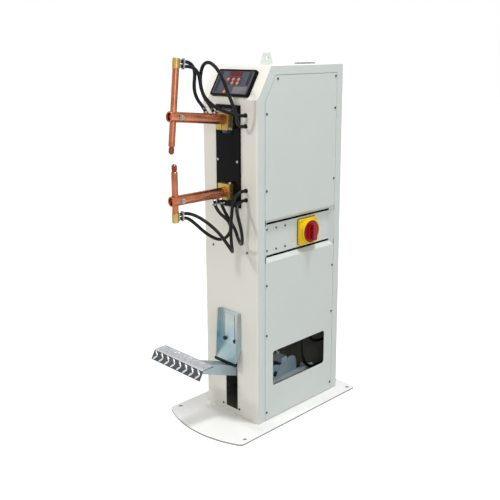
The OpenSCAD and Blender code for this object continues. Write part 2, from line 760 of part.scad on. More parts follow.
module switch_panel() {
    color(grey) cab() difference() {
        translate([0, 0, tray_low]) linear_extrude(tray_high - tray_low) polygon([
            [half_w, tray_front], [half_w, tray_front + tray_land],
            [tray_x, tray_front + tray_land + tray_bend], [tray_x, tray_back - tray_land - tray_bend],
            [half_w, tray_back - tray_land], [half_w, tray_back], [half_w - panel_t, tray_back],
            [half_w - panel_t, tray_back - tray_land + 1], [tray_x - panel_t, tray_back - tray_bend - 3],
            [tray_x - panel_t, tray_front + tray_bend + 3],
            [half_w - panel_t, tray_front + tray_land - 1], [half_w - panel_t, tray_front]]);
        translate([tray_x, switch_y, switch_z]) cube([20, switch_block + 2, switch_block + 2],
            center = true);
        for (q = tray_screws) translate([tray_x, q[0], q[1]])
            rod_x(screw_d + 2 * screw_gap, -panel_t - eps, eps);
    }
}

module left_panel() {
    color(grey) cab() mirror([1, 0, 0]) difference() {
        along_x(half_w - panel_t, half_w) panel_outline(panel_gap);
        side_screw_holes(screw_d + 2 * screw_gap);
    }
}

module rear_panel() {
    color(grey) cab() difference() {
        block(-half_w + rear_border + panel_gap, half_w - rear_border - panel_gap, cab_d - panel_t,
            cab_d, rear_panel_low + panel_gap, panel_high - panel_gap);
        rear_screw_holes(screw_d + 2 * screw_gap);
        for (z = tail_z) translate([hose_x, 0, z])
            rod_y(hose_bush_d + 2 * fit_gap, cab_d - panel_t - eps, cab_d + eps);
        translate([gland_x, 0, gland_z]) rod_y(gland_d + 2 * fit_gap, cab_d - panel_t - eps, cab_d + eps);
    }
}

module cover_screws() {
    color(zinc) cab() {
        for (m = [0, 1], q = side_screws) mirror([m, 0, 0]) translate([half_w, q[0], q[1]])
            rotate([0, 90, 0]) screw(screw_head_d, screw_head_h, screw_d, post_t + 3);
        for (q = rear_screws) translate([q[0], cab_d, q[1]])
            rotate([-90, 0, 0]) screw(screw_head_d, screw_head_h, screw_d, post_t + 3);
        for (q = tray_screws) translate([tray_x, q[0], q[1]])
            rotate([0, 90, 0]) screw(screw_head_d - 1, screw_head_h, screw_d, panel_t + 4);
    }
}

module lifting_lug() {
    color(grey) cab() translate([0, lug_y, cab_h]) along_x(-lug_t / 2, lug_t / 2) difference() {
        polygon([[-lug_foot / 2, 0], [lug_foot / 2, 0], [lug_top / 2, lug_h], [-lug_top / 2, lug_h]]);
        translate([0, lug_hole_up]) circle(d = lug_hole_d);
    }
}

module insulating_plate() {
    color(black) cab() difference() {
        block(-insul_w / 2, insul_w / 2, -insul_t, 0, insul_low, insul_high);
        block(-rocker_w / 2 - 5, rocker_w / 2 + 5, -insul_t - eps, eps,
            rocker_hole[0] + 20, rocker_hole[1]);
        block(-bar_w / 2 - 1, bar_w / 2 + 1, -insul_t - eps, eps,
            lower_arm_z - bar_h / 2 - 1, lower_arm_z + bar_h / 2 + 1);
        for (s = [-1, 1]) translate([s * plate_screw_x, 0, plate_screw_z])
            rod_y(screw_d + 2 * screw_gap, -insul_t - eps, eps);
    }
}

module control_bezel() {
    color(black) on_slope() translate([0, bezel_low + bezel_l / 2, 0]) difference() {
        linear_extrude(bezel_h) rounded(bezel_w, bezel_l, bezel_r);
        translate([0, 0, face_z]) linear_extrude(bezel_h) rounded(face_w, face_l, face_r);
        translate([0, 0, -eps]) linear_extrude(bezel_h) square([face_w - 12, face_l - 2], center = true);
    }
}

module control_face() {
    color(iron) on_slope() difference() {
        translate([0, bezel_low + bezel_l / 2, face_z]) linear_extrude(face_t)
            rounded(face_w - 2 * face_gap, face_l - 2 * face_gap, face_r);
        translate([0, display_s, face_z + face_t / 2])
            cube([display_w + 2 * face_gap, display_l + 2 * face_gap, face_t * 2], center = true);
        for (q = keys) translate([q[0], q[1], face_z - eps])
            cylinder(d = key_d + 2 * key_gap, h = face_t + 2 * eps);
    }
}

module display_window() {
    color([0.25, 0.03, 0.05]) on_slope() translate([0, display_s, face_z + face_t / 2 + 0.2])
        cube([display_w, display_l, face_t], center = true);
}

module key_shape(n) {
    color([0.85, 0.40, 0.10]) on_slope() translate([keys[n][0], keys[n][1], face_z]) {
        translate([0, 0, -eps]) cylinder(d = key_d, h = face_t + key_proud + eps);
        translate([0, 0, -key_flange_t - key_gap / 4])
            cylinder(d = key_d + 2 * key_gap + 1, h = key_flange_t);
    }
}
module key_1() { key_shape(0); }
module key_2() { key_shape(1); }
module key_3() { key_shape(2); }
module key_4() { key_shape(3); }
module key_5() { key_shape(4); }
module key_6() { key_shape(5); }

module hose_bushes() {
    color(black) cab() for (z = hose_bush_z) translate([hose_x, 0, z]) {
        rod_y(hose_bush_d + 6, -hose_bush_t, 0);
        rod_y(hose_bush_d, -eps, bush_back);
    }
}

module stop_hood() {
    color(alloy) cab() difference() {
        union() {
            along_x(-hood_w / 2, hood_w / 2) polygon([[0, hood_high], [-hood_t, hood_high],
                [-hood_t, hood_bend], [-hood_low_d, hood_low + 3], [-hood_low_d, hood_low],
                [hood_t - hood_low_d, hood_low], [0, hood_bend - 2]]);
            for (s = [-1, 1]) along_x(s * (hood_w - hood_t) / 2 - hood_t / 2,
                s * (hood_w - hood_t) / 2 + hood_t / 2)
                polygon([[0, hood_high], [-hood_top_d, hood_high], [-hood_low_d, hood_low],
                    [hood_t - hood_low_d, hood_low], [0, hood_bend - 2]]);
        }
        for (s = [-1, 1]) along_y(-hood_t - eps, eps)
            translate([s * hood_slot_x, (hood_slot_low + hood_slot_high) / 2])
                slot_shape(hood_slot_w, hood_slot_high - hood_slot_low);
    }
}

module stop_rubber() {
    color(black) cab() block(-hood_w / 2, hood_w / 2, -hood_low_d - 1, hood_t + 1 - hood_low_d,
        hood_low - rubber_h, hood_low);
}

module front_screws() {
    color(zinc) cab() {
        for (q = small_screws) translate([q[0], 0, q[1]]) rotate([90, 0, 0])
            screw(screw_head_d, screw_head_h, screw_d, sheet_t + 4);
        for (s = [-1, 1]) translate([s * plate_screw_x, -insul_t, plate_screw_z]) rotate([90, 0, 0])
            screw(screw_head_d + 1, screw_head_h, screw_d, insul_t + sheet_t + 4);
        for (s = [-1, 1]) translate([s * hood_slot_x, -hood_t, hood_bolt_z]) rotate([90, 0, 0]) {
            cylinder(d = 2 * hood_bolt_d, h = washer_t);
            translate([0, 0, washer_t]) hex_bolt(hood_bolt_af, 5.3, hood_bolt_d, hood_t + sheet_t + 9);
        }
    }
}

module main_switch() {
    color([0.98, 0.84, 0.15]) at_switch() difference() {
        union() {
            linear_extrude(switch_plate_t) rounded(switch_plate, switch_plate, 6);
            translate([0, 0, switch_plate_t - eps]) cylinder(d = collar_d, h = collar_h + eps);
            translate([0, 0, -switch_depth / 2]) cube([switch_block, switch_block, switch_depth + eps],
                center = true);
        }
        translate([0, 0, switch_plate_t]) cylinder(d = collar_d - 2 * collar_wall, h = collar_h + eps);
        translate([0, 0, 3]) cylinder(d = switch_shaft_d + 2 * run_gap, h = switch_plate_t);
    }
}

module switch_knob() {
    color([0.62, 0.08, 0.12]) at_switch() translate([0, 0, switch_plate_t]) {
        translate([0, 0, -8]) cylinder(d = switch_shaft_d, h = 8 + dial_lift + eps);
        translate([0, 0, dial_lift]) cylinder(d = dial_d, h = dial_t);
        difference() {
            translate([0, 0, dial_lift + dial_t - eps]) linear_extrude(grip_h + eps)
                rounded(grip_w, grip_l, grip_w / 4);
            for (s = [-1, 0, 1]) translate([-grip_w / 2 - eps, s * grip_l / 4, dial_lift + dial_t + 8])
                rod_x(7, 0, grip_w + 2 * eps);
        }
    }
}

// A clamp block around an arm: its bolted side up, its slit towards -x turned by a
module clamp_block(plain, bolted, a) {
    along_y(-clamp_l, 0) difference() {
        union() {
            translate([0, (bolted - plain) / 2]) rounded(clamp_w, bolted + plain, clamp_r);
            translate([0, bolted / 2]) rounded(clamp_w, bolted, clamp_edge);
        }
        circle(d = arm_d + 2 * fit_gap);
        rotate(a) translate([-clamp_w, -slit_w / 2]) square([clamp_w, slit_w]);
    }
}
module lower_clamp() {
    color(brass) at_lower_arm() translate([0, lower_bar_front, 0]) difference() {
        clamp_block(lower_clamp_down, lower_clamp_up, 180);
        translate([lower_bolt_x, -clamp_l / 2, -clamp_w])
            cylinder(d = clamp_bolt_d + 2 * screw_gap, h = 2 * clamp_w);
    }
}

// An arm along y from its open front end, with the cross bore for its electrode holder
module arm_tube(front, back, hole) {
    difference() {
        union() {
            rod_y(arm_d, front, back);
            children();
        }
        rod_y(arm_bore_d, front - eps, front + arm_nose - 4);
        translate([0, hole, -arm_d]) cylinder(d = holder_d + 2 * fit_gap, h = 2 * arm_d);
        translate([0, hole + cross_back, 0]) rod_x(cross_d + 2 * screw_gap, 0, arm_d);
    }
}
module lower_arm() {
    color(copper) at_lower_arm() arm_tube(-throat - arm_nose, lower_bar_front, -throat)
        for (y = lower_nipple_y) translate([0, y, 0]) rotate([0, 180 - lower_tilt, 0])
            cylinder(d = boss_d, h = lower_boss);
}

module holder_shape(top, bottom) {
    rotate_extrude() polygon([[0, bottom], [holder_d / 2, bottom], [holder_d / 2, top - 2],
        [holder_d / 2 - 2, top], [0, top]]);
}
module lower_holder() {
    color(copper) at_lower_arm() translate([0, -throat, 0]) holder_shape(lower_top, -lower_drop);
}

// An electrode tip standing on z = 0 with its nose up
module tip_shape() {
    rotate_extrude() polygon([[0, 0], [tip_neck, 0], [tip_neck, 3.5], [tip_d / 2, 4.5],
        [tip_d / 2, tip_l - tip_cone], [tip_face / 2, tip_l], [0, tip_l]]);
}
module lower_tip() {
    color(copper) at_lower_arm() translate([0, -throat, lower_top]) tip_shape();
}

// A round water cap hanging under z = 0, with two flats
module cap_shape() {
    edge = 1.2;
    intersection() {
        rotate_extrude() polygon([[0, 0], [cap_d / 2 - edge, 0], [cap_d / 2, -edge],
            [cap_d / 2, edge - cap_h], [cap_d / 2 - edge, -cap_h], [0, -cap_h]]);
        block(-cap_d, cap_d, -cap_w / 2, cap_w / 2, -cap_h, 0);
    }
}
module lower_cap() {
    color(brass) at_lower_arm() translate([0, -throat, -lower_drop]) cap_shape();
}

// A hose nipple along +z from z = 0, with a clip around the start of the hose
module nipple() {
    cylinder(d = nipple_d, h = nipple_l);
    cylinder(d = nipple_d + 5, h = 4, $fn = 6);
    translate([0, 0, nipple_l + 2]) difference() {
        cylinder(d = hose_d + 4, h = 6);
        translate([0, 0, -eps]) cylinder(d = hose_d + 0.8, h = 7);
    }
}
module cross_screw() {
    translate([arm_d / 2, 0, 0]) rotate([0, 90, 0]) {
        cylinder(d = 2 * cross_d, h = washer_t);
        translate([0, 0, washer_t]) socket_screw(cross_d + 4, 5, cross_d, arm_d / 2);
    }
}
module lower_fittings() {
    color(zinc) at_lower_arm() {
        for (z = cap_nipple_z) translate([0, cap_w / 2 - throat, z + 1 - lower_cap_low])
            rotate([-90, 0, 0]) nipple();
        for (y = lower_nipple_y) translate([0, y, 0]) rotate([0, 180 - lower_tilt, 0])
            translate([0, 0, lower_boss]) nipple();
        translate([0, cross_back - throat, 0]) cross_screw();
        translate([lower_bolt_x, lower_bar_front - clamp_l / 2, lower_clamp_up])
            socket_screw(10, 6, clamp_bolt_d, lower_clamp_up + 12);
    }
}

module rocker() {
    color(alloy) at_rocker() difference() {
        union() {
            along_x(-rocker_w / 2, rocker_w / 2) polygon([[rocker_front, -rocker_down],
                [rocker_waist, -rocker_down], [rocker_waist + 14, -tail_half],
                [rocker_tail, -tail_half], [rocker_tail, tail_half], [rocker_waist + 14, tail_half],
                [rocker_waist, rocker_up], [rocker_front, rocker_up], [visor_front, visor_low + visor_t],
                [visor_front, visor_low], [rocker_front, visor_low]]);
        }
        rod_x(pivot_d + 2 * fit_gap, -rocker_w, rocker_w);
        block(-fork_gap / 2, fork_gap / 2, fork_reach - 24, rocker_tail + eps,
            -rocker_down - eps, rocker_up + eps);
        translate([0, fork_reach, 0]) along_x(-rocker_w, rocker_w) rotate(90)
            slot_shape(fork_slot, fork_slot + slot_play);
    }
}

module upper_clamp() {
    color(brass) at_rocker() translate([0, rocker_front, 0]) difference() {
        mirror([0, 0, 1]) clamp_block(upper_clamp_up, upper_clamp_down, -90);
        translate([0, -clamp_l / 2, upper_bolt_z])
            rod_x(clamp_bolt_d + 2 * screw_gap, -clamp_w, clamp_w);
    }
}

module upper_arm() {
    color(copper) at_rocker() arm_tube(arm_front, rocker_front, upper_hole_y)
        for (y = upper_nipple_y) translate([0, y, 0]) rotate([upper_tilt, 0, 0])
            cylinder(d = boss_d, h = upper_boss);
}

module upper_holder() {
    color(copper) at_rocker() translate([0, upper_hole_y, 0]) mirror([0, 0, 1])
        holder_shape(upper_drop, -upper_rise);
}

module upper_tip() {
    color(copper) at_rocker() translate([0, upper_hole_y, -upper_drop]) mirror([0, 0, 1]) tip_shape();
}

module upper_cap() {
    color(brass) at_rocker() translate([0, upper_hole_y, upper_rise + cap_h]) cap_shape();
}

module upper_fittings() {
    color(zinc) at_rocker() {
        for (z = cap_nipple_z) translate([0, upper_hole_y + cap_w / 2, upper_rise + z])
            rotate([-90, 0, 0]) nipple();
        for (y = upper_nipple_y) translate([0, y, 0]) rotate([upper_tilt, 0, 0])
            translate([0, 0, upper_boss]) nipple();
        translate([0, upper_hole_y + cross_back, 0]) cross_screw();
        translate([clamp_w / 2, rocker_front - clamp_l / 2, upper_bolt_z])
            rotate([0, 90, 0]) socket_screw(10, 6, clamp_bolt_d, clamp_w - 8);
    }
}

module pivot_shaft() {
    color(zinc) at_rocker() rod_x(pivot_d, -rocker_w / 2 - 19, rocker_w / 2 + 19);
}

module pivot_bushes() {
    color(brass) cab() translate([0, pivot_y, pivot_z]) for (m = [0, 1]) mirror([m, 0, 0])
        difference() {
            union() {
                rod_x(pivot_d + 2 * bush_wall, rocker_w / 2 + 3, rocker_w / 2 + 16);
                rod_x(pivot_d + 3 * bush_wall, rocker_w / 2 + 1, rocker_w / 2 + 6);
            }
            rod_x(pivot_d + 2 * run_gap, 0, cab_w);
        }
}

module pivot_bracket() {
    cheek_low = pivot_z - 64;
    cheek_high = pivot_z + 62;
    color(zinc) cab() for (m = [0, 1]) mirror([m, 0, 0]) difference() {
        union() {
            along_x(rocker_w / 2 + 7, rocker_w / 2 + 7 + 2 * cheek_t) polygon([[sheet_t, cheek_low],
                [sheet_t, cheek_high], [pivot_y - 25, cheek_high], [pivot_y + 33, pivot_z + 26],
                [pivot_y + 33, pivot_z - 24], [pivot_y - 25, cheek_low]]);
            block(rocker_w / 2 + 7, rocker_w / 2 + 38, sheet_t, sheet_t + 5, cheek_low, cheek_high);
        }
        translate([0, pivot_y, pivot_z])
            rod_x(pivot_d + 2 * bush_wall + 2 * fit_gap, 0, cab_w);
    }
}

// Core with two windows, and the winding around its middle limb
module transformer_core() {
    color(iron) cab() difference() {
        block(core_x - core_w / 2, core_x + core_w / 2, core_front, core_back, shelf_z, shelf_z + core_h);
        for (s = [-1, 1]) translate([core_x + s * (limb_w + window_w) / 2, 0, 0])
            block(-window_w / 2, window_w / 2, core_front - eps, core_back + eps,
                shelf_z + yoke_h, shelf_z + core_h - yoke_h);
    }
}

module transformer_coil() {
    low = shelf_z + yoke_h + coil_gap;
    high = shelf_z + core_h - yoke_h - coil_gap;
    half = limb_w / 2 + window_w - coil_gap;
    color(copper) cab() {
        difference() {
            block(core_x - half, core_x + half, core_front - coil_out, core_back + coil_out, low, high);
            block(core_x - limb_w / 2 - coil_gap, core_x + limb_w / 2 + coil_gap,
                core_front - coil_gap, core_back + coil_gap, low - eps, high + eps);
        }
        block(-bar_w / 2, lead_x, coil_front, core_front - coil_out + eps,
            lower_arm_z - bar_h / 2, lower_arm_z + bar_h / 2);
        block(lead_x - lead_t, lead_x, coil_front, coil_front + lead_t, lower_arm_z, shunt_top);
        block(lead_x - lead_t, rocker_w / 2, coil_front, coil_front + lead_t, shunt_top - lead_t, shunt_top);
    }
}

module lower_conductor() {
    color(copper) cab() difference() {
        block(-bar_w / 2, bar_w / 2, lower_bar_front, coil_front,
            lower_arm_z - bar_h / 2, lower_arm_z + bar_h / 2);
        translate([0, rod_y, 0]) cylinder(d = rod_d + 14, h = cab_h);
    }
}

module flexible_shunt() {
    back = shunt_y + shunt_t + 1;
    color(copper) cab() along_x(lead_x - 8, rocker_w / 2 - 1) polygon([[shunt_y, rocker_low(shunt_y)],
        [back, rocker_low(back)], [back, shunt_top + 24], [back + 6, shunt_top + 6],
        [back + 24, shunt_top], [coil_front, shunt_top], [coil_front, shunt_top - shunt_t],
        [back + 20, shunt_top - shunt_t], [back - 2, shunt_top - 1], [shunt_y, shunt_top + 20]]);
}

module push_rod() {
    color(zinc) cab() translate([0, rod_y, 0]) {
        translate([0, 0, rod_pin_z]) cylinder(d = rod_d, h = fork_pin_z - rod_pin_z);
        translate([0, 0, rod_pin_z]) rod_x(rod_pin_d, -lever_w / 2 - 5, lever_w / 2 + 5);
        translate([0, 0, rod_pin_z]) rod_x(26, -8, 8);
        translate([0, 0, guide_high + 0.5]) cylinder(d = 30, h = 15);
        translate([0, 0, spring_low - rod_collar_t]) cylinder(r = collar_r, h = rod_collar_t);
        translate([0, 0, spring_low + spring_l]) cylinder(r = collar_r, h = rod_collar_t);
        translate([0, 0, fork_pin_z]) rod_x(fork_pin_d, -rocker_w / 2 + 1, rocker_w / 2 - 1);
        translate([0, 0, fork_pin_z]) rod_x(28, -fork_gap / 2 + 1, fork_gap / 2 - 1);
    }
}

module pressure_spring() {
    turns = 7;
    steps = 9;
    seat = 0.2;
    lead = spring_l - spring_wire - 2 * seat;
    coil_r = (spring_d - spring_wire) / 2;
    curl = [for (i = [0:turns * steps])
        [coil_r * cos(360 * i / steps), coil_r * sin(360 * i / steps), lead * i / (turns * steps)]];
    echo(str("pressure spring: least gap to itself ", least_gap(curl, spring_wire, steps - 1), " mm"));
    color(iron) cab() translate([0, rod_y, spring_low + spring_wire / 2 + seat])
        tube_along(curl, spring_wire, 6);
}

// Side outline of the pedal lever: arm, hub, push rod eye and weight tail
module lever_outline() {
    half = lever_h / 2;
    hub_r = fulcrum_d / 2 + 16;
    eye_r = rod_pin_d / 2 + 9;
    tail = fulcrum_y + weight_back;
    tail_low = fulcrum_z - 48;
    polygon([[3 - tread_ahead, tread_z - tread_t], [tread_d + 2 - tread_ahead, tread_z - tread_t],
        [lever_top, lever_z(lever_top, half)], [fulcrum_y, lever_z(fulcrum_y, half)],
        [fulcrum_y, lever_z(fulcrum_y, -half)], [14 - tread_ahead, lever_z(14 - tread_ahead, -half)],
        [1 - tread_ahead, tread_z - 22]]);
    translate([fulcrum_y, fulcrum_z]) circle(hub_r);
    translate([rod_y, rod_pin_z]) circle(eye_r);
    polygon([[fulcrum_y, fulcrum_z + hub_r], [rod_y, rod_pin_z + eye_r], [rod_y, rod_pin_z - eye_r],
        [fulcrum_y, fulcrum_z - hub_r]]);
    polygon([[fulcrum_y - 16, fulcrum_z - 20], [fulcrum_y + 60, fulcrum_z - 24], [tail, tail_low + 22],
        [tail, tail_low], [fulcrum_y, tail_low]]);
}
module pedal_lever() {
    tail = fulcrum_y + weight_back;
    web_back = fulcrum_y - 38;
    color(alloy) cab() difference() {
        union() {
            for (s = [-1, 1]) along_x(s * (lever_w - lever_t) / 2 - lever_t / 2,
                s * (lever_w - lever_t) / 2 + lever_t / 2) lever_outline();
            along_x(-lever_w / 2, lever_w / 2) polygon([[lever_top, lever_z(lever_top, lever_h / 2)],
                [web_back, lever_z(web_back, lever_h / 2)],
                [web_back, lever_z(web_back, lever_h / 2 - lever_t)],
                [lever_top, lever_z(lever_top, lever_h / 2 - lever_t)]]);
            translate([0, fulcrum_y, fulcrum_z])
                rod_x(fulcrum_d + 14, -lever_w / 2 - 9, lever_w / 2 + 9);
            translate([weight_x, 0, fulcrum_z - 20]) rod_y(weight_d, fulcrum_y - 50, tail - 10);
            block(lever_w / 2 - lever_t, weight_x, tail - 37, tail - 25, fulcrum_z - 46, fulcrum_z - 8);
        }
        translate([0, fulcrum_y, fulcrum_z]) rod_x(fulcrum_d + 2 * run_gap, -cab_w, cab_w);
        translate([0, rod_y, rod_pin_z]) rotate([-crank_a, 0, 0]) along_x(-lever_w, lever_w) rotate(90)
            slot_shape(rod_slot, rod_slot + slot_play);
    }
}

module pedal_tread() {
    lip_a = atan2(lip_drop, lip_ahead);
    lip_y = -tread_ahead - lip_ahead;
    lip_z = tread_z - lip_drop;
    color(alloy) cab() along_x(-tread_w / 2, tread_w / 2) polygon([[-tread_ahead, tread_z],
        [lip_y, lip_z], [lip_y + tread_t * sin(lip_a), lip_z - tread_t * cos(lip_a)],
        [tread_t * tan(lip_a / 2) - tread_ahead, tread_z - tread_t],
        [tread_d - tread_ahead, tread_z - tread_t], [tread_d - tread_ahead, tread_z]]);
}

module fulcrum_shaft() {
    color(iron) cab() translate([0, fulcrum_y, fulcrum_z])
        rod_x(fulcrum_d, -bracket_in - cheek_t - 1, bracket_in + cheek_t + 1);
}

module fulcrum_bracket() {
    cheek_r = fulcrum_d / 2 + 22;
    color(zinc) cab() difference() {
        union() {
            for (m = [0, 1]) mirror([m, 0, 0]) {
                along_x(bracket_in, bracket_in + cheek_t) {
                    polygon([[fulcrum_y - cheek_r, 0], [bracket_back, 0], [bracket_back - 4, fulcrum_z + 16],
                        [bracket_back - 60, fulcrum_z + 26], [bracket_back - 90, fulcrum_z + 26],
                        [fulcrum_y - cheek_r, fulcrum_z]]);
                    translate([fulcrum_y, fulcrum_z + 2]) circle(cheek_r);
                    translate([bracket_back - cheek_r, fulcrum_z + 16]) circle(cheek_r - 4);
                }
                block(bracket_in, bracket_in + 22, fulcrum_y - cheek_r, bracket_back, 0, cheek_t + 1);
            }
            block(-bracket_in - cheek_t, bracket_in + cheek_t, rod_y - 14, rod_y + 14,
                guide_low, guide_high);
            for (m = [0, 1]) mirror([m, 0, 0])
                block(bracket_in, bracket_in + cheek_t, rod_y - 14, rod_y + 14, fulcrum_z, guide_high);
        }
        translate([0, fulcrum_y, fulcrum_z]) rod_x(fulcrum_d + 2 * fit_gap, -cab_w, cab_w);
        translate([0, rod_y, 0]) cylinder(d = rod_d + 2 * run_gap, h = cab_h);
    }
}

module upper_link_hose() { color(black) cab() tube_along(upper_link_route, hose_d, hose_sides); }
module upper_feed_hose() { color(black) cab() tube_along(upper_feed_route, hose_d, hose_sides); }
module upper_return_hose() { color(black) cab() tube_along(upper_return_route, hose_d, hose_sides); }
module lower_feed_hose() { color(black) cab() tube_along(lower_feed_route, hose_d, hose_sides); }
module lower_link_hose() { color(black) cab() tube_along(lower_link_route, hose_d, hose_sides); }
module lower_return_hose() { color(black) cab() tube_along(lower_return_route, hose_d, hose_sides); }

// A bend in the plane of the inner hoses about (y, z), from angle a over a span
module hose_turn(y, z, r, a, span) {
    translate([0, y, z]) rotate([90, 0, 90]) rotate([0, 0, a])
        rotate_extrude(angle = span) translate([r, 0]) circle(d = hose_d, $fn = 24);
}
module inner_hoses() {
    link_r = (hose_bush_z[2] - hose_bush_z[1]) / 2;
    color(black) cab() translate([hose_x, 0, 0]) {
        translate([0, 0, tail_z[0]]) rod_y(hose_d, riser_y[0] + hose_bend, tail_in);
        hose_turn(riser_y[0] + hose_bend, tail_z[0] + hose_bend, hose_bend, 180, 90);
        translate([0, riser_y[0], tail_z[0] + hose_bend])
            cylinder(d = hose_d, h = hose_bush_z[0] - tail_z[0] - 2 * hose_bend);
        hose_turn(riser_y[0] - hose_bend, hose_bush_z[0] - hose_bend, hose_bend, 0, 90);
        translate([0, 0, hose_bush_z[0]]) rod_y(hose_d, bush_back, riser_y[0] - hose_bend);
        translate([0, 0, hose_bush_z[1]]) rod_y(hose_d, bush_back, bush_back + 28);
        hose_turn(bush_back + 28, hose_bush_z[1] + link_r, link_r, -90, 180);
        translate([0, 0, hose_bush_z[2]]) rod_y(hose_d, bush_back, bush_back + 28);
        translate([0, 0, hose_bush_z[3]]) rod_y(hose_d, bush_back, riser_y[1] - hose_bend);
        hose_turn(riser_y[1] - hose_bend, hose_bush_z[3] - hose_bend, hose_bend, 0, 90);
        translate([0, riser_y[1], tail_z[1] + hose_bend])
            cylinder(d = hose_d, h = hose_bush_z[3] - tail_z[1] - 2 * hose_bend);
        hose_turn(riser_y[1] + hose_bend, tail_z[1] + hose_bend, hose_bend, 180, 90);
        translate([0, 0, tail_z[1]]) rod_y(hose_d, riser_y[1] + hose_bend, tail_in);
    }
}

module mains_gland() {
    color(black) cab() translate([gland_x, 0, gland_z]) difference() {
        union() {
            translate([0, cab_d, 0]) rotate([-90, 0, 0]) cylinder(d = 36, h = 9, $fn = 6);
            rod_y(gland_d, cab_d - 12, cab_d + 24);
            rod_y(34, cab_d - panel_t - 8, cab_d - panel_t);
        }
        rod_y(cable_d, cab_d - 20, cab_d + 30);
    }
}

module water_tails() {
    color(brass) cab() for (z = tail_z) translate([hose_x, 0, z]) {
        rod_y(hose_bush_d, tail_in, cab_d + 12);
        translate([0, cab_d, 0]) rotate([-90, 0, 0]) cylinder(d = 22, h = 8, $fn = 6);
        rod_y(hose_d, cab_d + 12 - eps, cab_d + 36);
    }
}

base_plate();
cabinet_casing();
upper_side_panel();
lower_side_panel();
switch_panel();
left_panel();
rear_panel();
cover_screws();
lifting_lug();
insulating_plate();
control_bezel();
control_face();
display_window();
key_1();
key_2();
key_3();
key_4();
key_5();
key_6();
hose_bushes();
stop_hood();
stop_rubber();
front_screws();
main_switch();
switch_knob();
lower_clamp();
lower_arm();
lower_holder();
lower_tip();
lower_cap();
lower_fittings();
rocker();
upper_clamp();
upper_arm();
upper_holder();
upper_tip();
upper_cap();
upper_fittings();
pivot_shaft();
pivot_bushes();
pivot_bracket();
transformer_core();
transformer_coil();
lower_conductor();
flexible_shunt();
push_rod();
pressure_spring();
pedal_lever();
pedal_tread();
fulcrum_shaft();
fulcrum_bracket();
upper_link_hose();
upper_feed_hose();
upper_return_hose();
lower_feed_hose();
lower_link_hose();
lower_return_hose();
inner_hoses();
mains_gland();
water_tails();
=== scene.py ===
import json
import math

import bmesh
import bpy
from mathutils import Matrix, Vector


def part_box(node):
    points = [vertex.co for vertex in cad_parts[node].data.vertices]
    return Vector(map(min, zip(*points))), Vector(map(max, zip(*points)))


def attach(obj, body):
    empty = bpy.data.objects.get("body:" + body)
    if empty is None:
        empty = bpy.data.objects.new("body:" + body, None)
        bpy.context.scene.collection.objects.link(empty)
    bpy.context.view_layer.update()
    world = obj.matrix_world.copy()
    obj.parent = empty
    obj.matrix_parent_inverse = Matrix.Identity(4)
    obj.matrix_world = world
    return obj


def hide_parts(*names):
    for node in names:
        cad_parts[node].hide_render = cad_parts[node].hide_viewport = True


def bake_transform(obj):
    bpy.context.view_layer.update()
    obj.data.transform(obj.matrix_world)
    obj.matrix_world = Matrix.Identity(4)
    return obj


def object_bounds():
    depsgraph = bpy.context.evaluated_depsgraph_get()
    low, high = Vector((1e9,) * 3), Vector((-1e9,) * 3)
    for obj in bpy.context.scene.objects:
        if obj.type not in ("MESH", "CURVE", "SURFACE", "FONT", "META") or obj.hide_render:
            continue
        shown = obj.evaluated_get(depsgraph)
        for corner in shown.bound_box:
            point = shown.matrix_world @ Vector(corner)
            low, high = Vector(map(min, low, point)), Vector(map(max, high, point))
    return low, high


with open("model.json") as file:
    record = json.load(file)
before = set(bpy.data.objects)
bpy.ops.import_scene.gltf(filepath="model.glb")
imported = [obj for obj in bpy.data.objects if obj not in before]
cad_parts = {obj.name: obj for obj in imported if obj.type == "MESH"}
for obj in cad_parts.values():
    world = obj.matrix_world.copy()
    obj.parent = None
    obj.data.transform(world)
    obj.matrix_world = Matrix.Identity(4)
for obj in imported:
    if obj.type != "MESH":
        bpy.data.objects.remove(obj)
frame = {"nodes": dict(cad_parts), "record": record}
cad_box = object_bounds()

MM = 0.001
nodes = frame["nodes"]
body_of = {node: body for body, members in frame["record"]["behaviour"]["bodies"].items() for node in members}

# Places are millimetres in the cabinet's own frame: x to the side with the main switch,
# y back from the front sheet, z up from the top of the floor plate.
CABINET = Vector((0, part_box("cabinet_casing")[0].y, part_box("cabinet_casing")[0].z))
RIGHT, BACK, UP = Vector((1, 0, 0)), Vector((0, 1, 0)), Vector((0, 0, 1))
HALF_W, DEPTH, HEIGHT, SHEET = 130, 418, 1200, 2
FRONT_H, SLOPE_RUN = 1096, 62
SLOPE = math.atan2(HEIGHT - FRONT_H, SLOPE_RUN)
SLOPE_UP = Vector((0, math.cos(SLOPE), math.sin(SLOPE)))
SLOPE_OUT = Vector((0, -math.sin(SLOPE), math.cos(SLOPE)))
PIVOT = Vector((0, 55, 1024))
OPEN = math.radians(6)
ARM_BACK = Vector((0, math.cos(OPEN), -math.sin(OPEN)))
ARM_UP = Vector((0, math.sin(OPEN), math.cos(OPEN)))
LOWER_ARM_Z = 796
SWITCH_PANEL_X = 116
SWITCH = Vector((SWITCH_PANEL_X, 251, 638))
BUSH_X = 80
BUSH_HEIGHTS = LOWER_RETURN_Z, LOWER_FEED_Z, UPPER_RETURN_Z, UPPER_FEED_Z = 776, 807, 1014, 1048


def at(x, y, z):
    return CABINET + Vector((x, y, z)) * MM


def in_cabinet(point):
    return (point - CABINET) / MM


def on_slope(x, s, n):
    return at(*(Vector((x, 0, FRONT_H)) + SLOPE_UP * s + SLOPE_OUT * n))


def slope_place(place):
    """Across, up and out from the sloped console face, for a place in the cabinet's frame."""
    off = place - Vector((0, 0, FRONT_H))
    return off.x, off.dot(SLOPE_UP), off.dot(SLOPE_OUT)


def on_rocker(y, z):
    return at(*(PIVOT + ARM_BACK * y + ARM_UP * z))


# Camera and light

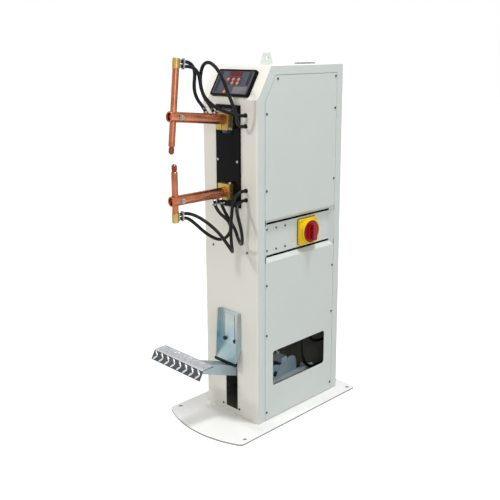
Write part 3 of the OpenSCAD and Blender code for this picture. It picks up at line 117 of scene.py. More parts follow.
SKY_COLOUR = (1.0, 0.988, 0.965, 1)
SKY_LOW, SKY_HIGH = 0.22, 0.66
FLOOR_SIZE, FLOOR_GAP = 30, 0.0005
FLOOR_GREY, FLOOR_GLOW = 0.64, 0.7

# Name, place, target, size, power and colour of each lamp
LAMPS = (
    ("front_key", (-0.35, -2.6, 2.7), (0, 0, 0.7), 0.25, 25, (1.0, 0.985, 0.955)),
    ("soft_box", (2.5, -1.5, 1.6), (0, 0, 0.5), 1.2, 17, (1.0, 1.0, 1.0)),
    ("overhead", (1.0, 0.2, 3.9), (0, 0, 0.6), 0.5, 69, (0.96, 0.985, 1.0)),
)


def add_camera():
    azimuth, elevation, roll = (math.radians(a) for a in (45.403, 12.866, -0.2825))
    distance, aside, above = 2.4625, 0.0660, 0.1116
    focal_px, image_px, centre_row = 734.588, 500, 215
    sensor = 36
    back = Vector((math.sin(azimuth) * math.cos(elevation),
                   -math.cos(azimuth) * math.cos(elevation), math.sin(elevation)))
    level = (-back).cross(UP).normalized()
    upright = level.cross(-back)
    right = level * math.cos(roll) + upright * math.sin(roll)
    up = upright * math.cos(roll) - level * math.sin(roll)
    data = bpy.data.cameras.new("camera")
    data.sensor_width = sensor
    data.lens = sensor * focal_px / image_px
    data.shift_y = (centre_row - image_px / 2) / image_px
    camera = bpy.data.objects.new("camera", data)
    bpy.context.scene.collection.objects.link(camera)
    place = at(0, 0, HEIGHT / 2) + back * distance + right * aside + up * above
    camera.matrix_world = Matrix.Translation(place) @ Matrix((right, up, back)).transposed().to_4x4()
    bpy.context.scene.camera = camera


def add_lamp(name, place, target, size, power, colour):
    data = bpy.data.lights.new(name, "AREA")
    data.shape = "SQUARE"
    data.size = size
    data.energy = power
    data.color = colour
    lamp = bpy.data.objects.new(name, data)
    lamp.location = place
    lamp.rotation_euler = (Vector(target) - Vector(place)).to_track_quat("-Z", "Y").to_euler()
    bpy.context.scene.collection.objects.link(lamp)


def wire(tree, source, target):
    tree.links.new(source, target)


def show_when_seen(tree, unseen, seen, output):
    """Let camera, glossy and transmission rays see one shader and all other rays another."""
    path = tree.nodes.new("ShaderNodeLightPath")
    seen_directly = path.outputs["Is Camera Ray"]
    for ray in ("Is Glossy Ray", "Is Transmission Ray"):
        add = tree.nodes.new("ShaderNodeMath")
        add.operation = "MAXIMUM"
        wire(tree, seen_directly, add.inputs[0])
        wire(tree, path.outputs[ray], add.inputs[1])
        seen_directly = add.outputs[0]
    mix = tree.nodes.new("ShaderNodeMixShader")
    for source, socket in zip((seen_directly, unseen.outputs[0], seen.outputs[0]), mix.inputs):
        wire(tree, source, socket)
    wire(tree, mix.outputs[0], tree.nodes[output].inputs["Surface"])


def add_world():
    """A sky that lights more from above, in front of a plain white background."""
    world = bpy.data.worlds.new("studio")
    world.use_nodes = True
    tree = world.node_tree
    light = tree.nodes["Background"]
    light.inputs["Color"].default_value = SKY_COLOUR
    ways = tree.nodes.new("ShaderNodeTexCoord")
    split = tree.nodes.new("ShaderNodeSeparateXYZ")
    grade = tree.nodes.new("ShaderNodeMapRange")
    wire(tree, ways.outputs["Generated"], split.inputs[0])
    wire(tree, split.outputs["Z"], grade.inputs["Value"])
    grade.inputs["To Min"].default_value = SKY_LOW
    grade.inputs["To Max"].default_value = SKY_HIGH
    wire(tree, grade.outputs["Result"], light.inputs["Strength"])
    seen = tree.nodes.new("ShaderNodeBackground")
    seen.inputs["Color"].default_value = (1, 1, 1, 1)
    seen.inputs["Strength"].default_value = 1.0
    show_when_seen(tree, light, seen, "World Output")
    bpy.context.scene.world = world


def add_floor():
    bpy.ops.object.select_all(action="DESELECT")
    bpy.ops.mesh.primitive_plane_add(size=FLOOR_SIZE, location=(0, 0, cad_box[0].z - FLOOR_GAP))
    floor = bpy.context.active_object
    floor.name = "floor"
    material = bpy.data.materials.new("pale_floor")
    material.use_nodes = True
    tree = material.node_tree
    paint = tree.nodes["Principled BSDF"]
    paint.inputs["Base Color"].default_value = (FLOOR_GREY, FLOOR_GREY, FLOOR_GREY, 1)
    paint.inputs["Roughness"].default_value = 0.9
    glow = tree.nodes.new("ShaderNodeEmission")
    glow.inputs["Strength"].default_value = FLOOR_GLOW
    lit = tree.nodes.new("ShaderNodeAddShader")
    wire(tree, paint.outputs[0], lit.inputs[0])
    wire(tree, glow.outputs[0], lit.inputs[1])
    show_when_seen(tree, paint, lit, "Material Output")
    floor.data.materials.append(material)


bpy.context.scene.view_settings.view_transform = "Standard"
add_camera()
add_world()
add_floor()
for lamp in LAMPS:
    add_lamp(*lamp)

# Cooling hoses

HOSE_D = 10.8
HOSE_SLEEVE = 7
HOSE_ROUTES = {
    "upper_link_hose": [
        (0, -189.2, 1216.6), (0, -179.3, 1215.5), (0, -165, 1213), (0, -152.5, 1206.5), (0, -144, 1195.5),
        (0, -140.5, 1181.5), (0, -141, 1166), (0, -143, 1150), (0, -143, 1134.5), (0, -140, 1119.5),
        (0, -134, 1106), (0, -126.4, 1095.1), (0, -118.4, 1086.5), (0, -111.3, 1078.5), (0, -105.5, 1070.4)],
    "upper_feed_hose": [
        (80, -1, 1048), (80, -16, 1048), (77, -30, 1049.5), (68.5, -47.5, 1054), (57, -69, 1062.5),
        (46, -93, 1075), (37.5, -115, 1092.5), (31, -130, 1112), (26, -137, 1134), (22, -138, 1154),
        (18, -138.5, 1172), (13.5, -143.5, 1187), (9, -153.5, 1196.6), (3, -166.5, 1200.8),
        (0, -180.7, 1201.6), (0, -190.4, 1202.6)],
    "upper_return_hose": [
        (80, -1, 1014), (80, -16, 1014), (82, -26.5, 1015.3), (86, -38.5, 1021), (91.5, -49.5, 1032.5),
        (96.5, -57.5, 1048), (100, -67, 1066), (102, -79.5, 1088), (102.5, -94, 1116), (101, -109, 1148),
        (96, -121.5, 1177), (85, -130, 1198.5), (67, -135, 1211.5), (47, -135.5, 1211.5), (27, -131.5, 1200),
        (13.5, -127.5, 1178.5), (8, -125, 1154), (5, -117, 1128), (2.5, -104.5, 1105.1), (0.8, -90.4, 1090.2),
        (0, -78.7, 1076.5), (0, -71.8, 1067.1)],
    "lower_feed_hose": [
        (80, -1, 807), (80, -16, 807), (80, -32, 805), (79, -48, 793.5), (77, -58, 772),
        (75, -61.5, 745), (72, -62, 716), (69, -61, 686), (72, -63, 658), (85, -72.5, 636),
        (104, -88, 627), (119.5, -107, 638), (120, -124, 660), (106, -134, 684), (80, -139, 704),
        (49, -146, 722.5), (22, -159, 738.5), (6, -177, 748), (0, -196, 751), (0, -208, 751)],
    "lower_link_hose": [
        (0, -208, 737), (0, -200, 737), (0.5, -185.5, 734.5), (2.5, -173, 727), (6.5, -156, 712),
        (11, -139, 695), (16, -122, 678.5), (23, -102, 663), (33, -80.5, 652.5), (44, -62.5, 656),
        (51.5, -51, 671.5), (53, -47.5, 691), (47.5, -51.5, 709), (37, -58.5, 722.5),
        (24, -66.5, 735.5), (10.9, -72, 755.4), (7.8, -72, 767)],
    "lower_return_hose": [
        (80, -1, 776), (80, -16, 776), (82, -35, 773), (88, -50, 765), (97.5, -60.5, 752),
        (108, -66, 735), (117, -67, 714), (121.5, -64.5, 690), (119, -59, 664), (106, -48.5, 645),
        (85, -35.5, 640), (63.5, -24.5, 651), (46.5, -21, 675), (32.5, -29, 704), (20.5, -40, 733),
        (10.9, -45, 755.4), (7.8, -45, 767)],
}
RISE_WITH_ARM = ("upper_feed_hose", "upper_return_hose")
STARTS_ON_CAP = ("upper_link_hose", "lower_link_hose")

# Hoses inside the cabinet run in one upright plane behind the front bushes.
INNER_BEND = 70
BUSH_BACK, TAIL_IN = 12, 404
WATER_IN_Z, WATER_OUT_Z = 90, 185


def quarter(y, z, radius, first, last):
    """Points of a bend about (y, z) in the plane of the inner hoses, by angles in degrees."""
    steps = max(4, round(abs(last - first) / 9))
    angles = [math.radians(first + (last - first) * k / steps) for k in range(steps + 1)]
    return [(y + radius * math.cos(a), z + radius * math.sin(a)) for a in angles]


INNER_ROUTES = {
    "lower_riser_hose": [(TAIL_IN, WATER_IN_Z), *quarter(353, 160, INNER_BEND, 270, 180),
                         *quarter(213, 706, INNER_BEND, 0, 90), (BUSH_BACK, LOWER_RETURN_Z)],
    "front_link_hose": [(BUSH_BACK, LOWER_FEED_Z), *quarter(40, 910.5, 103.5, -90, 90),
                        (BUSH_BACK, UPPER_RETURN_Z)],
    "upper_riser_hose": [(BUSH_BACK, UPPER_FEED_Z), *quarter(238, 978, INNER_BEND, 90, 0),
                         *quarter(378, 255, INNER_BEND, 180, 270), (TAIL_IN, WATER_OUT_Z)],
}


def smooth_path(points, steps):
    """Points of one smooth curve that passes through every route point."""
    ends = [2 * points[0] - points[1]] + points + [2 * points[-1] - points[-2]]
    path = []
    for p, q, r, s in zip(ends, ends[1:], ends[2:], ends[3:]):
        for k in range(steps):
            t = k / steps
            path.append(0.5 * (2 * q + (r - p) * t + (2 * p - 5 * q + 4 * r - s) * t * t
                               + (3 * q - p - 3 * r + s) * t ** 3))
    return path + [points[-1]]


def tube(name, path, sides):
    curve = bpy.data.curves.new(name, "CURVE")
    curve.dimensions = "3D"
    curve.bevel_depth = HOSE_D * MM / 2
    curve.bevel_resolution = sides // 4 - 1
    curve.use_fill_caps = True
    spline = curve.splines.new("POLY")
    spline.points.add(len(path) - 1)
    for point, place in zip(spline.points, path):
        point.co = (*place, 1)
    piece = bpy.data.objects.new(name, curve)
    bpy.context.scene.collection.objects.link(piece)
    hold(piece)
    bpy.ops.object.convert(target="MESH")
    piece = bpy.context.active_object
    bpy.ops.object.shade_smooth_by_angle(angle=math.radians(50))
    return coat(piece, hose_rubber)


def declare_hose(node):
    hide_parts(node)


def add_hose(node):
    points = [at(*p) for p in HOSE_ROUTES[node]]
    if node in STARTS_ON_CAP:
        points[0] = points[0] + (points[0] - points[1]).normalized() * HOSE_SLEEVE * MM
    points[-1] = points[-1] + (points[-1] - points[-2]).normalized() * HOSE_SLEEVE * MM
    path = smooth_path(points, 8)
    piece = tube(node.replace("_hose", "_water_hose"), path, 24)
    if node in RISE_WITH_ARM:
        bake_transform(piece)
    else:
        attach(piece, "upper_arm" if node.startswith("upper") else "cabinet")
    declare_hose(node)


def add_inner_hose(name):
    path = [at(BUSH_X, y, z) for y, z in INNER_ROUTES[name]]
    piece = tube(name, path, 20)
    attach(piece, "cabinet")
    declare_hose("inner_hoses")


# Modelling by hand: hold a piece, pick its faces or edges, shape it, finish it


def hold(piece):
    bpy.ops.object.select_all(action="DESELECT")
    piece.select_set(True)
    bpy.context.view_layer.objects.active = piece
    return piece


def start(primitive, **settings):
    """A new primitive, held and ready to be shaped."""
    bpy.ops.object.select_all(action="DESELECT")
    primitive(**settings)
    return hold(bpy.context.active_object)


def keep_place():
    """Make the place, turn and scale of what is selected part of its shape."""
    bpy.ops.object.transform_apply(location=True, rotation=True, scale=True)


def block(place, size, turn=0):
    """A box of a size in mm, at its place and turned about z."""
    piece = start(bpy.ops.mesh.primitive_cube_add, size=1, location=place, rotation=(0, 0, turn),
                  scale=[side * MM for side in size])
    keep_place()
    return piece


def cylinder(sides, radius, depth, middle=0, ends="NGON"):
    """An upright cylinder in mm, with the height of its middle."""
    return start(bpy.ops.mesh.primitive_cylinder_add, vertices=sides, radius=radius * MM, depth=depth * MM,
                 location=(0, 0, middle * MM), end_fill_type=ends)


def leaf(wide, high):
    """A flat rectangle in mm at the origin."""
    piece = start(bpy.ops.mesh.primitive_plane_add, size=1)
    piece.scale = (wide * MM, high * MM, 1)
    keep_place()
    return piece


def shaping(on):
    bpy.ops.object.mode_set(mode="EDIT" if on else "OBJECT")


def pick_all():
    bpy.ops.mesh.select_all(action="SELECT")


def pick(piece, kind, test, origin=Vector()):
    """Select the faces or edges whose middle, in mm from the origin given, and direction pass a test.

    With VERT as the kind, the ends of those edges are selected."""
    bpy.ops.mesh.select_mode(type=kind)
    bpy.ops.mesh.select_all(action="DESELECT")
    shape = bmesh.from_edit_mesh(piece.data)
    for part in shape.faces if kind == "FACE" else shape.edges:
        if kind == "FACE":
            middle, way = part.calc_center_median(), part.normal
        else:
            a, b = (corner.co for corner in part.verts)
            middle, way = (a + b) / 2, (b - a).normalized()
        if test((middle - origin) / MM, way):
            part.select_set(True)
    bmesh.update_edit_mesh(piece.data)


def move(x, y, z):
    return {"value": (x * MM, y * MM, z * MM)}


def raise_by(height):
    bpy.ops.mesh.extrude_region_move(TRANSFORM_OT_translate=move(0, 0, height))


def thicken(height):
    """Raise a whole flat outline into a slab, and stop shaping it."""
    pick_all()
    raise_by(height)
    pick_all()
    bpy.ops.mesh.normals_make_consistent(inside=False)
    shaping(False)


def modify(piece, kind, **settings):
    modifier = piece.modifiers.new(kind.lower(), kind)
    for setting, value in settings.items():
        setattr(modifier, setting, value)
    bpy.ops.object.modifier_apply(modifier=modifier.name)


def cut(piece, tool):
    hold(piece)
    modify(piece, "BOOLEAN", object=tool, operation="DIFFERENCE", solver="EXACT")


def settle(piece, angle=35):
    keep_place()
    bpy.ops.object.shade_smooth_by_angle(angle=math.radians(angle))
    return piece


def round_edges(piece, width, segments=2):
    hold(piece)
    bpy.ops.object.shade_smooth_by_angle(angle=math.radians(30))
    modify(piece, "BEVEL", width=width * MM, segments=segments, limit_method="ANGLE",
           angle_limit=math.radians(35), use_clamp_overlap=False, harden_normals=True)
    return piece


def facing(place, out, up):
    """The place of a copy whose own z points out and whose own y points up."""
    out = Vector(out).normalized()
    across = Vector(up).cross(out).normalized()
    up = out.cross(across)
    return Matrix.Translation(place) @ Matrix((across, up, out)).transposed().to_4x4()


def join(members, name=None):
    bpy.ops.object.select_all(action="DESELECT")
    for member in members:
        member.select_set(True)
    bpy.context.view_layer.objects.active = members[0]
    keep_place()
    if len(members) > 1:
        bpy.ops.object.join()
    whole = bpy.context.active_object
    whole.name = name or whole.name
    return whole


def place_copies(model, name, places):
    """Copies of one modelled shape, each with its own mesh, joined into one piece."""
    copies = []
    for place in places:
        copy = bpy.data.objects.new(name, model.data.copy())
        bpy.context.scene.collection.objects.link(copy)
        copy.matrix_world = place
        copies.append(copy)
    bpy.data.objects.remove(model)
    return join(copies)


def coat(piece, *finishes):
    piece.data.materials.clear()
    for finish in finishes:
        piece.data.materials.append(finish)
    return piece


def fit(piece, body, *stands_for):
    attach(piece, body)
    if stands_for:
        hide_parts(*stands_for)
    return piece


def copy_of(node, name):
    """A merged copy of a CAD solid, with its flat faces whole again."""
    piece = bpy.data.objects.new(name, nodes[node].data.copy())
    bpy.context.scene.collection.objects.link(piece)
    piece.data.materials.clear()
    hold(piece)
    bpy.ops.mesh.customdata_custom_splitnormals_clear()
    shaping(True)
    pick_all()
    bpy.ops.mesh.remove_doubles(threshold=5e-6)
    bpy.ops.mesh.dissolve_limited(angle_limit=math.radians(0.5))
    shaping(False)
    return piece


def loose_solids(node):
    copy_of(node, node + "_solids")
    bpy.ops.mesh.separate(type="LOOSE")
    bpy.context.view_layer.update()
    return list(bpy.context.selected_objects)


def box_of(piece):
    corners = [in_cabinet(corner.co) for corner in piece.data.vertices]
    low, high = (Vector(end(c[k] for c in corners) for k in range(3)) for end in (min, max))
    return low, high


def soften(node, name, width, *finishes, segments=2, paint=None, shape=None):
    """Stand a copy with rounded edges and its own finishes in the place of a CAD solid."""
    piece = coat(copy_of(node, name), *finishes)
    if shape:
        shaping(True)
        shape(piece)
        shaping(False)
    round_edges(piece, width, segments)
    if paint:
        for face in piece.data.polygons:
            face.material_index = paint(in_cabinet(face.center), face.normal)
    return fit(piece, body_of[node], node)


# Finishes


def new_group(name, inputs, outputs):
    """A node group, with the kind of each socket it is given and makes."""
    group = bpy.data.node_groups.new(name, "ShaderNodeTree")
    for way, sockets in (("INPUT", inputs), ("OUTPUT", outputs)):
        for socket, kind in sockets.items():
            group.interface.new_socket(socket, in_out=way, socket_type="NodeSocket" + kind)
    return group, group.nodes.new("NodeGroupInput"), group.nodes.new("NodeGroupOutput")


def feed(tree, value, socket):
    """Give a socket a plain value, or wire another node's output to it."""
    if isinstance(value, (int, float, tuple)):
        socket.default_value = value
    else:
        wire(tree, value, socket)


def object_space(tree):
    return tree.nodes.new("ShaderNodeTexCoord").outputs["Object"]


def math_node(tree, operation, a, b):
    node = tree.nodes.new("ShaderNodeMath")
    node.operation = operation
    feed(tree, a, node.inputs[0])
    feed(tree, b, node.inputs[1])
    return node.outputs[0]


def noise(tree, scale, detail, vector=None, roughness=0.55):
    node = tree.nodes.new("ShaderNodeTexNoise")
    node.inputs["Detail"].default_value = detail
    node.inputs["Roughness"].default_value = roughness
    feed(tree, scale, node.inputs["Scale"])
    wire(tree, vector or object_space(tree), node.inputs["Vector"])
    return node.outputs["Fac"]


def remap(tree, value, low, high, to_low, to_high):
    node = tree.nodes.new("ShaderNodeMapRange")
    wire(tree, value, node.inputs["Value"])
    for socket, number in zip(("From Min", "From Max", "To Min", "To Max"), (low, high, to_low, to_high)):
        feed(tree, number, node.inputs[socket])
    return node.outputs["Result"]


def mix_colour(tree, factor, a, b):
    node = tree.nodes.new("ShaderNodeMix")
    node.data_type = "RGBA"
    for value, socket in ((factor, 0), (a, 6), (b, 7)):
        feed(tree, value, node.inputs[socket])
    return node.outputs[2]


def build_tone_group():
    """Slow changes of shade over a surface, and small darker specks of dust."""
    group, given, made = new_group("shade_and_dust", {
        "Colour": "Color", "Dark Colour": "Color", "Cloud Scale": "Float", "Cloud Amount": "Float",
        "Speck Scale": "Float", "Speck Amount": "Float"}, {"Colour": "Color"})
    cloud = remap(group, noise(group, given.outputs["Cloud Scale"], 4), 0.35, 0.75, 0.0, 1.0)
    speck = remap(group, noise(group, given.outputs["Speck Scale"], 2), 0.62, 0.74, 0.0, 1.0)
    mask = math_node(group, "MAXIMUM", math_node(group, "MULTIPLY", cloud, given.outputs["Cloud Amount"]),
                     math_node(group, "MULTIPLY", speck, given.outputs["Speck Amount"]))
    wire(group, mix_colour(group, mask, given.outputs["Colour"], given.outputs["Dark Colour"]),
         made.inputs["Colour"])
    return group


def build_peel_group():
    """The fine pebbled skin of powder coat or moulded plastic."""
    group, given, made = new_group("pebbled_skin", {"Scale": "Float", "Fine Scale": "Float"},
                                   {"Height": "Float", "Gloss Change": "Float"})
    coarse = noise(group, given.outputs["Scale"], 2)
    fine = noise(group, given.outputs["Fine Scale"], 1)
    wire(group, math_node(group, "ADD", coarse, math_node(group, "MULTIPLY", fine, 0.4)), made.inputs["Height"])
    wire(group, remap(group, coarse, 0.3, 0.7, -0.5, 0.5), made.inputs["Gloss Change"])
    return group


def build_line_group():
    """Drawing or turning marks that run along one direction."""
    group, given, made = new_group("tool_lines", {"Stretch": "Vector", "Scale": "Float"},
                                   {"Height": "Float", "Shade": "Float"})
    mapping = group.nodes.new("ShaderNodeMapping")
    wire(group, object_space(group), mapping.inputs["Vector"])
    wire(group, given.outputs["Stretch"], mapping.inputs["Scale"])
    vector = mapping.outputs["Vector"]
    lines = noise(group, given.outputs["Scale"], 5, vector, 0.65)
    broad = noise(group, math_node(group, "MULTIPLY", given.outputs["Scale"], 0.16), 3, vector)
    wire(group, lines, made.inputs["Height"])
    wire(group, math_node(group, "ADD", math_node(group, "MULTIPLY", lines, 0.5),
                          math_node(group, "MULTIPLY", broad, 0.5)), made.inputs["Shade"])
    return group


TONE = build_tone_group()
PEEL = build_peel_group()
LINES = build_line_group()


def new_material(name, **constants):
    material = bpy.data.materials.new(name)
    material.use_nodes = True
    shader = material.node_tree.nodes["Principled BSDF"]
    for socket, value in constants.items():
        shader.inputs[socket.replace("_", " ")].default_value = value
    return material, material.node_tree, shader


def place_group(tree, group, **values):
    node = tree.nodes.new("ShaderNodeGroup")
    node.node_tree = group
    for socket, value in values.items():
        node.inputs[socket.replace("_", " ")].default_value = value
    return node


def bump(tree, shader, height, strength, distance):
    node = tree.nodes.new("ShaderNodeBump")
    node.inputs["Strength"].default_value = strength
    node.inputs["Distance"].default_value = distance
    wire(tree, height, node.inputs["Height"])
    wire(tree, node.outputs["Normal"], shader.inputs["Normal"])


def rgb(red, green, blue):
    """A screen colour from 0 to 255 as the linear colour that shaders take."""
    def linear(c):
        c = c / 255
        return c / 12.92 if c <= 0.04045 else ((c + 0.055) / 1.055) ** 2.4
    return (linear(red), linear(green), linear(blue), 1)


def shaded(tree, colour, shade, clouds, specks):
    """A colour with clouds and specks of a shade, each with their scale and amount."""
    cloud_scale, cloud_amount = clouds
    speck_scale, speck_amount = specks
    tone = place_group(tree, TONE, Colour=rgb(*colour), Dark_Colour=rgb(*shade), Cloud_Scale=cloud_scale,
                       Cloud_Amount=cloud_amount, Speck_Scale=speck_scale, Speck_Amount=speck_amount)
    return tone.outputs["Colour"]


def pebbled(tree, shader, scale, fine_scale, roughness, spread):
    """Wire a pebbled skin to the roughness, and give its height."""
    skin = place_group(tree, PEEL, Scale=scale, Fine_Scale=fine_scale)
    change = math_node(tree, "MULTIPLY", skin.outputs["Gloss Change"], spread)
    wire(tree, math_node(tree, "ADD", change, roughness), shader.inputs["Roughness"])
    return skin.outputs["Height"]


def powder_coat(name, colour, shade, roughness=0.42):
    material, tree, shader = new_material(name, Specular_IOR_Level=0.4)
    wire(tree, shaded(tree, colour, shade, (3.2, 0.55), (420, 0.10)), shader.inputs["Base Color"])
    bump(tree, shader, pebbled(tree, shader, 620, 2400, roughness, 0.12), 0.22, 0.0004)
    return material


def moulded(name, colour, shade, roughness, strength, scale, clouds=0.5, gloss=0.5):
    material, tree, shader = new_material(name, Specular_IOR_Level=gloss)
    wire(tree, shaded(tree, colour, shade, (14, clouds), (700, 0.22)), shader.inputs["Base Color"])
    bump(tree, shader, pebbled(tree, shader, scale, 3 * scale, roughness, 0.2), strength, 0.0003)
    return material


def worked_metal(name, colour, shade, stretch, roughness, clouds=0.6, streaks=0.45):
    """Bare metal with clouds of tarnish and lines that run along one direction."""
    spread = 0.25
    material, tree, shader = new_material(name, Metallic=1.0)
    tone = shaded(tree, colour, shade, (22, clouds), (520, 0.25))
    lines = place_group(tree, LINES, Stretch=stretch, Scale=420)
    streaked = mix_colour(tree, remap(tree, lines.outputs["Shade"], 0.35, 0.7, 0.0, streaks), tone, rgb(*shade))
    wire(tree, streaked, shader.inputs["Base Color"])
    rough = remap(tree, lines.outputs["Shade"], 0.3, 0.7, roughness - spread / 2, roughness + spread / 2)
    wire(tree, rough, shader.inputs["Roughness"])
    bump(tree, shader, lines.outputs["Height"], 0.12, 0.0002)
    return material


def plated_sheet(name, colour, shade, tint, roughness, metallic):
    """Zinc plate: a soft bluish sheen in slow clouds, with faint rolling lines."""
    material, tree, shader = new_material(name, Metallic=metallic)
    tone = shaded(tree, colour, shade, (11, 0.8), (300, 0.12))
    sheen = remap(tree, noise(tree, 7, 3), 0.42, 0.62, 0.0, 0.6)
    wire(tree, mix_colour(tree, sheen, tone, rgb(*tint)), shader.inputs["Base Color"])
    lines = place_group(tree, LINES, Stretch=(30, 30, 1.5), Scale=30)
    wire(tree, remap(tree, lines.outputs["Shade"], 0.3, 0.7, roughness - 0.06, roughness + 0.08),
         shader.inputs["Roughness"])
    bump(tree, shader, lines.outputs["Height"], 0.08, 0.0003)
    return material


# Scales of a metal's lines along x, y and z
ALL_WAYS = (12, 12, 12)
ALONG_ARM, ALONG_HOLDER, ALONG_TIP = (30, 1.2, 30), (30, 30, 1.2), (30, 30, 8)
ALONG_TREAD, ALONG_CLAMP, ALONG_BAR, ALONG_ROCKER = (4, 24, 24), (20, 6, 20), (20, 1.5, 20), (6, 1.2, 10)
# Roughness, relief, grain, clouds and gloss of the console film
FILM = (0.46, 0.12, 1500, 0.5, 0.16)

# One paint in two copies: a lighter, warmer copy on the front, slope, top and back as painted light, and a
# darker, cooler copy on the sides and panels as painted shade.
paint_lit_copy = powder_coat("paint_lit_copy", (240, 238, 229), (231, 229, 218))
paint_shaded_copy = powder_coat("paint_shaded_copy", (213, 219, 216), (204, 211, 207))
base_paint = powder_coat("base_paint", (246, 246, 244), (240, 240, 237))
# Painted shade: a dark paint for the inside of the casing, the backs of the panels and the floor plate within
# the walls, where shade falls.
inside_painted_shade = powder_coat("inside_painted_shade", (140, 141, 132), (118, 119, 110), 0.7)
# Painted shade: a darker grey for the floor plate's edges and hole walls.
edge_painted_shade = powder_coat("edge_painted_shade", (160, 163, 161), (136, 139, 137), 0.5)
zinc_sheet = plated_sheet("zinc_sheet", (184, 194, 193), (140, 156, 158), (150, 186, 198), 0.34, 0.75)
lever_zinc = plated_sheet("lever_zinc", (166, 178, 182), (136, 150, 157), (152, 172, 181), 0.42, 0.75)
# Painted light: the bracket and bar behind the side window are far paler and less metallic than zinc, standing
# in for light that hardly reaches them.
bracket_zinc_painted_light = plated_sheet("bracket_zinc_painted_light", (206, 224, 236), (172, 194, 210), (176, 206, 226), 0.45, 0.15)
bar_zinc_painted_light = plated_sheet("bar_zinc_painted_light", (238, 246, 250), (222, 234, 242), (220, 234, 244), 0.4, 0.0)
zinc_bolt = worked_metal("zinc_bolt", (190, 192, 194), (126, 130, 134), ALL_WAYS, 0.28)
screw_zinc = worked_metal("screw_zinc", (98, 100, 101), (58, 60, 61), ALL_WAYS, 0.36)
clip_steel = worked_metal("clip_steel", (150, 152, 154), (82, 84, 86), ALL_WAYS, 0.26)
blackened_bolt = worked_metal("blackened_bolt", (58, 59, 61), (32, 33, 35), ALL_WAYS, 0.36)
# Painted light: the tread plate's metal as a shaded copy, a lit copy and a bright painted highlight.
tread_shaded_copy = worked_metal("tread_shaded_copy", (96, 100, 104), (58, 62, 66), ALONG_TREAD, 0.45)
tread_lit_copy = worked_metal("tread_lit_copy", (206, 209, 213), (160, 164, 169), ALONG_TREAD, 0.42)
tear_highlight_metal = worked_metal("tear_highlight_metal", (226, 228, 230), (190, 193, 197), ALL_WAYS, 0.3)
copper_arm = worked_metal("copper_arm", (218, 142, 106), (108, 54, 32), ALONG_ARM, 0.27, 0.62, 0.5)
copper_holder = worked_metal("copper_holder", (204, 128, 94), (108, 58, 38), ALONG_HOLDER, 0.28, 0.65, 0.6)
copper_tip = worked_metal("copper_tip", (146, 80, 50), (74, 36, 22), ALONG_TIP, 0.32)
brass_block = worked_metal("brass_block", (204, 178, 106), (136, 114, 58), ALONG_CLAMP, 0.42)
alloy = worked_metal("alloy", (176, 175, 173), (116, 115, 114), ALONG_ROCKER, 0.42)
dark_steel = worked_metal("dark_steel", (88, 90, 93), (54, 55, 58), ALL_WAYS, 0.5)
copper_bar = worked_metal("copper_bar", (205, 128, 92), (150, 84, 56), ALONG_BAR, 0.4)
fibre_sheet = moulded("fibre_sheet", (10, 10, 10), (16, 16, 15), 0.16, 0.06, 420, 0.7, 0.07)
black_plastic = moulded("black_plastic", (9, 9, 10), (14, 14, 16), 0.34, 0.2, 900, 0.5, 0.07)
console_film = moulded("console_film", (78, 81, 90), (66, 69, 78), *FILM)
film_dark = moulded("film_dark", (40, 42, 50), (52, 54, 62), *FILM)
film_blue = moulded("film_blue", (50, 66, 88), (40, 54, 74), *FILM)
film_pale = moulded("film_pale", (122, 121, 122), (100, 100, 104), *FILM)
display_red = moulded("display_red", (96, 2, 12), (60, 1, 7), 0.14, 0.04, 300, 0.5, 0.2)
digit_red = moulded("digit_red", (128, 14, 20), (104, 8, 14), 0.3, 0.04, 300)
key_orange = moulded("key_orange", (242, 128, 24), (226, 100, 10), 0.3, 0.1, 900)
lamp_red = moulded("lamp_red", (176, 40, 24), (140, 24, 16), 0.24, 0.06, 900)
hose_rubber = moulded("hose_rubber", (12, 12, 13), (19, 19, 20), 0.34, 0.12, 800, 0.6, 0.18)
edge_rubber = moulded("edge_rubber", (13, 13, 13), (22, 22, 22), 0.5, 0.3, 600, 0.5, 0.2)
switch_yellow = moulded("switch_yellow", (240, 204, 22), (228, 183, 8), 0.3, 0.12, 900, 0.5, 0.3)
mark_black = moulded("mark_black", (30, 28, 18), (44, 40, 24), 0.5, 0.1, 900)
knob_red = moulded("knob_red", (158, 16, 24), (118, 6, 14), 0.26, 0.12, 900, 0.5, 0.25)

for hose in HOSE_ROUTES:
    add_hose(hose)
for hose in INNER_ROUTES:
    add_inner_hose(hose)

# Sheet metal

CORNER_R = 9
# Faces deeper than this within the sheet take the dark painted shade.
INSIDE_SHADE_DEPTH = 1.4
INSIDE_OF = {"upper_side_panel": -RIGHT, "lower_side_panel": -RIGHT, "switch_panel": -RIGHT,
             "left_panel": RIGHT, "rear_panel": -BACK}


def casing_side(place, normal):
    """The front, slope, top and back take the lighter copy of one paint as painted light, the two sides its
    darker copy as painted shade, and the inside a dark painted shade.
    """
    x, y, z = place
    slope = slope_place(place)[2]
    depth = min(HALF_W - abs(x), y, DEPTH - y, HEIGHT - z, -slope if slope < 0 else 0)
    past_x, past_y = abs(x) - (HALF_W - CORNER_R), CORNER_R - y
    if past_x > 0 and past_y > 0:
        depth = CORNER_R - math.hypot(past_x, past_y)
    if depth > INSIDE_SHADE_DEPTH and z > 0.5:
        return 2
    # Faces turned to the sides take the darker copy of the paint, as painted shade.
    return 1 if abs(normal.x) > 0.7 else 0


def inward(way):
    # Faces turned into the cabinet take the dark painted shade.
    return lambda place, normal: 1 if normal.dot(way) > 0.3 else 0


def mark_footprint(piece):
    """Cut the floor plate's top along the casing's walls, so that the part inside can take a dark painted
    shade.
    """
    for place, way in ((at(HALF_W - SHEET, 0, 0), RIGHT), (at(SHEET - HALF_W, 0, 0), RIGHT),
                       (at(0, SHEET, 0), BACK), (at(0, DEPTH - SHEET, 0), BACK)):
        pick_all()
        bpy.ops.mesh.bisect(plane_co=place, plane_no=way)


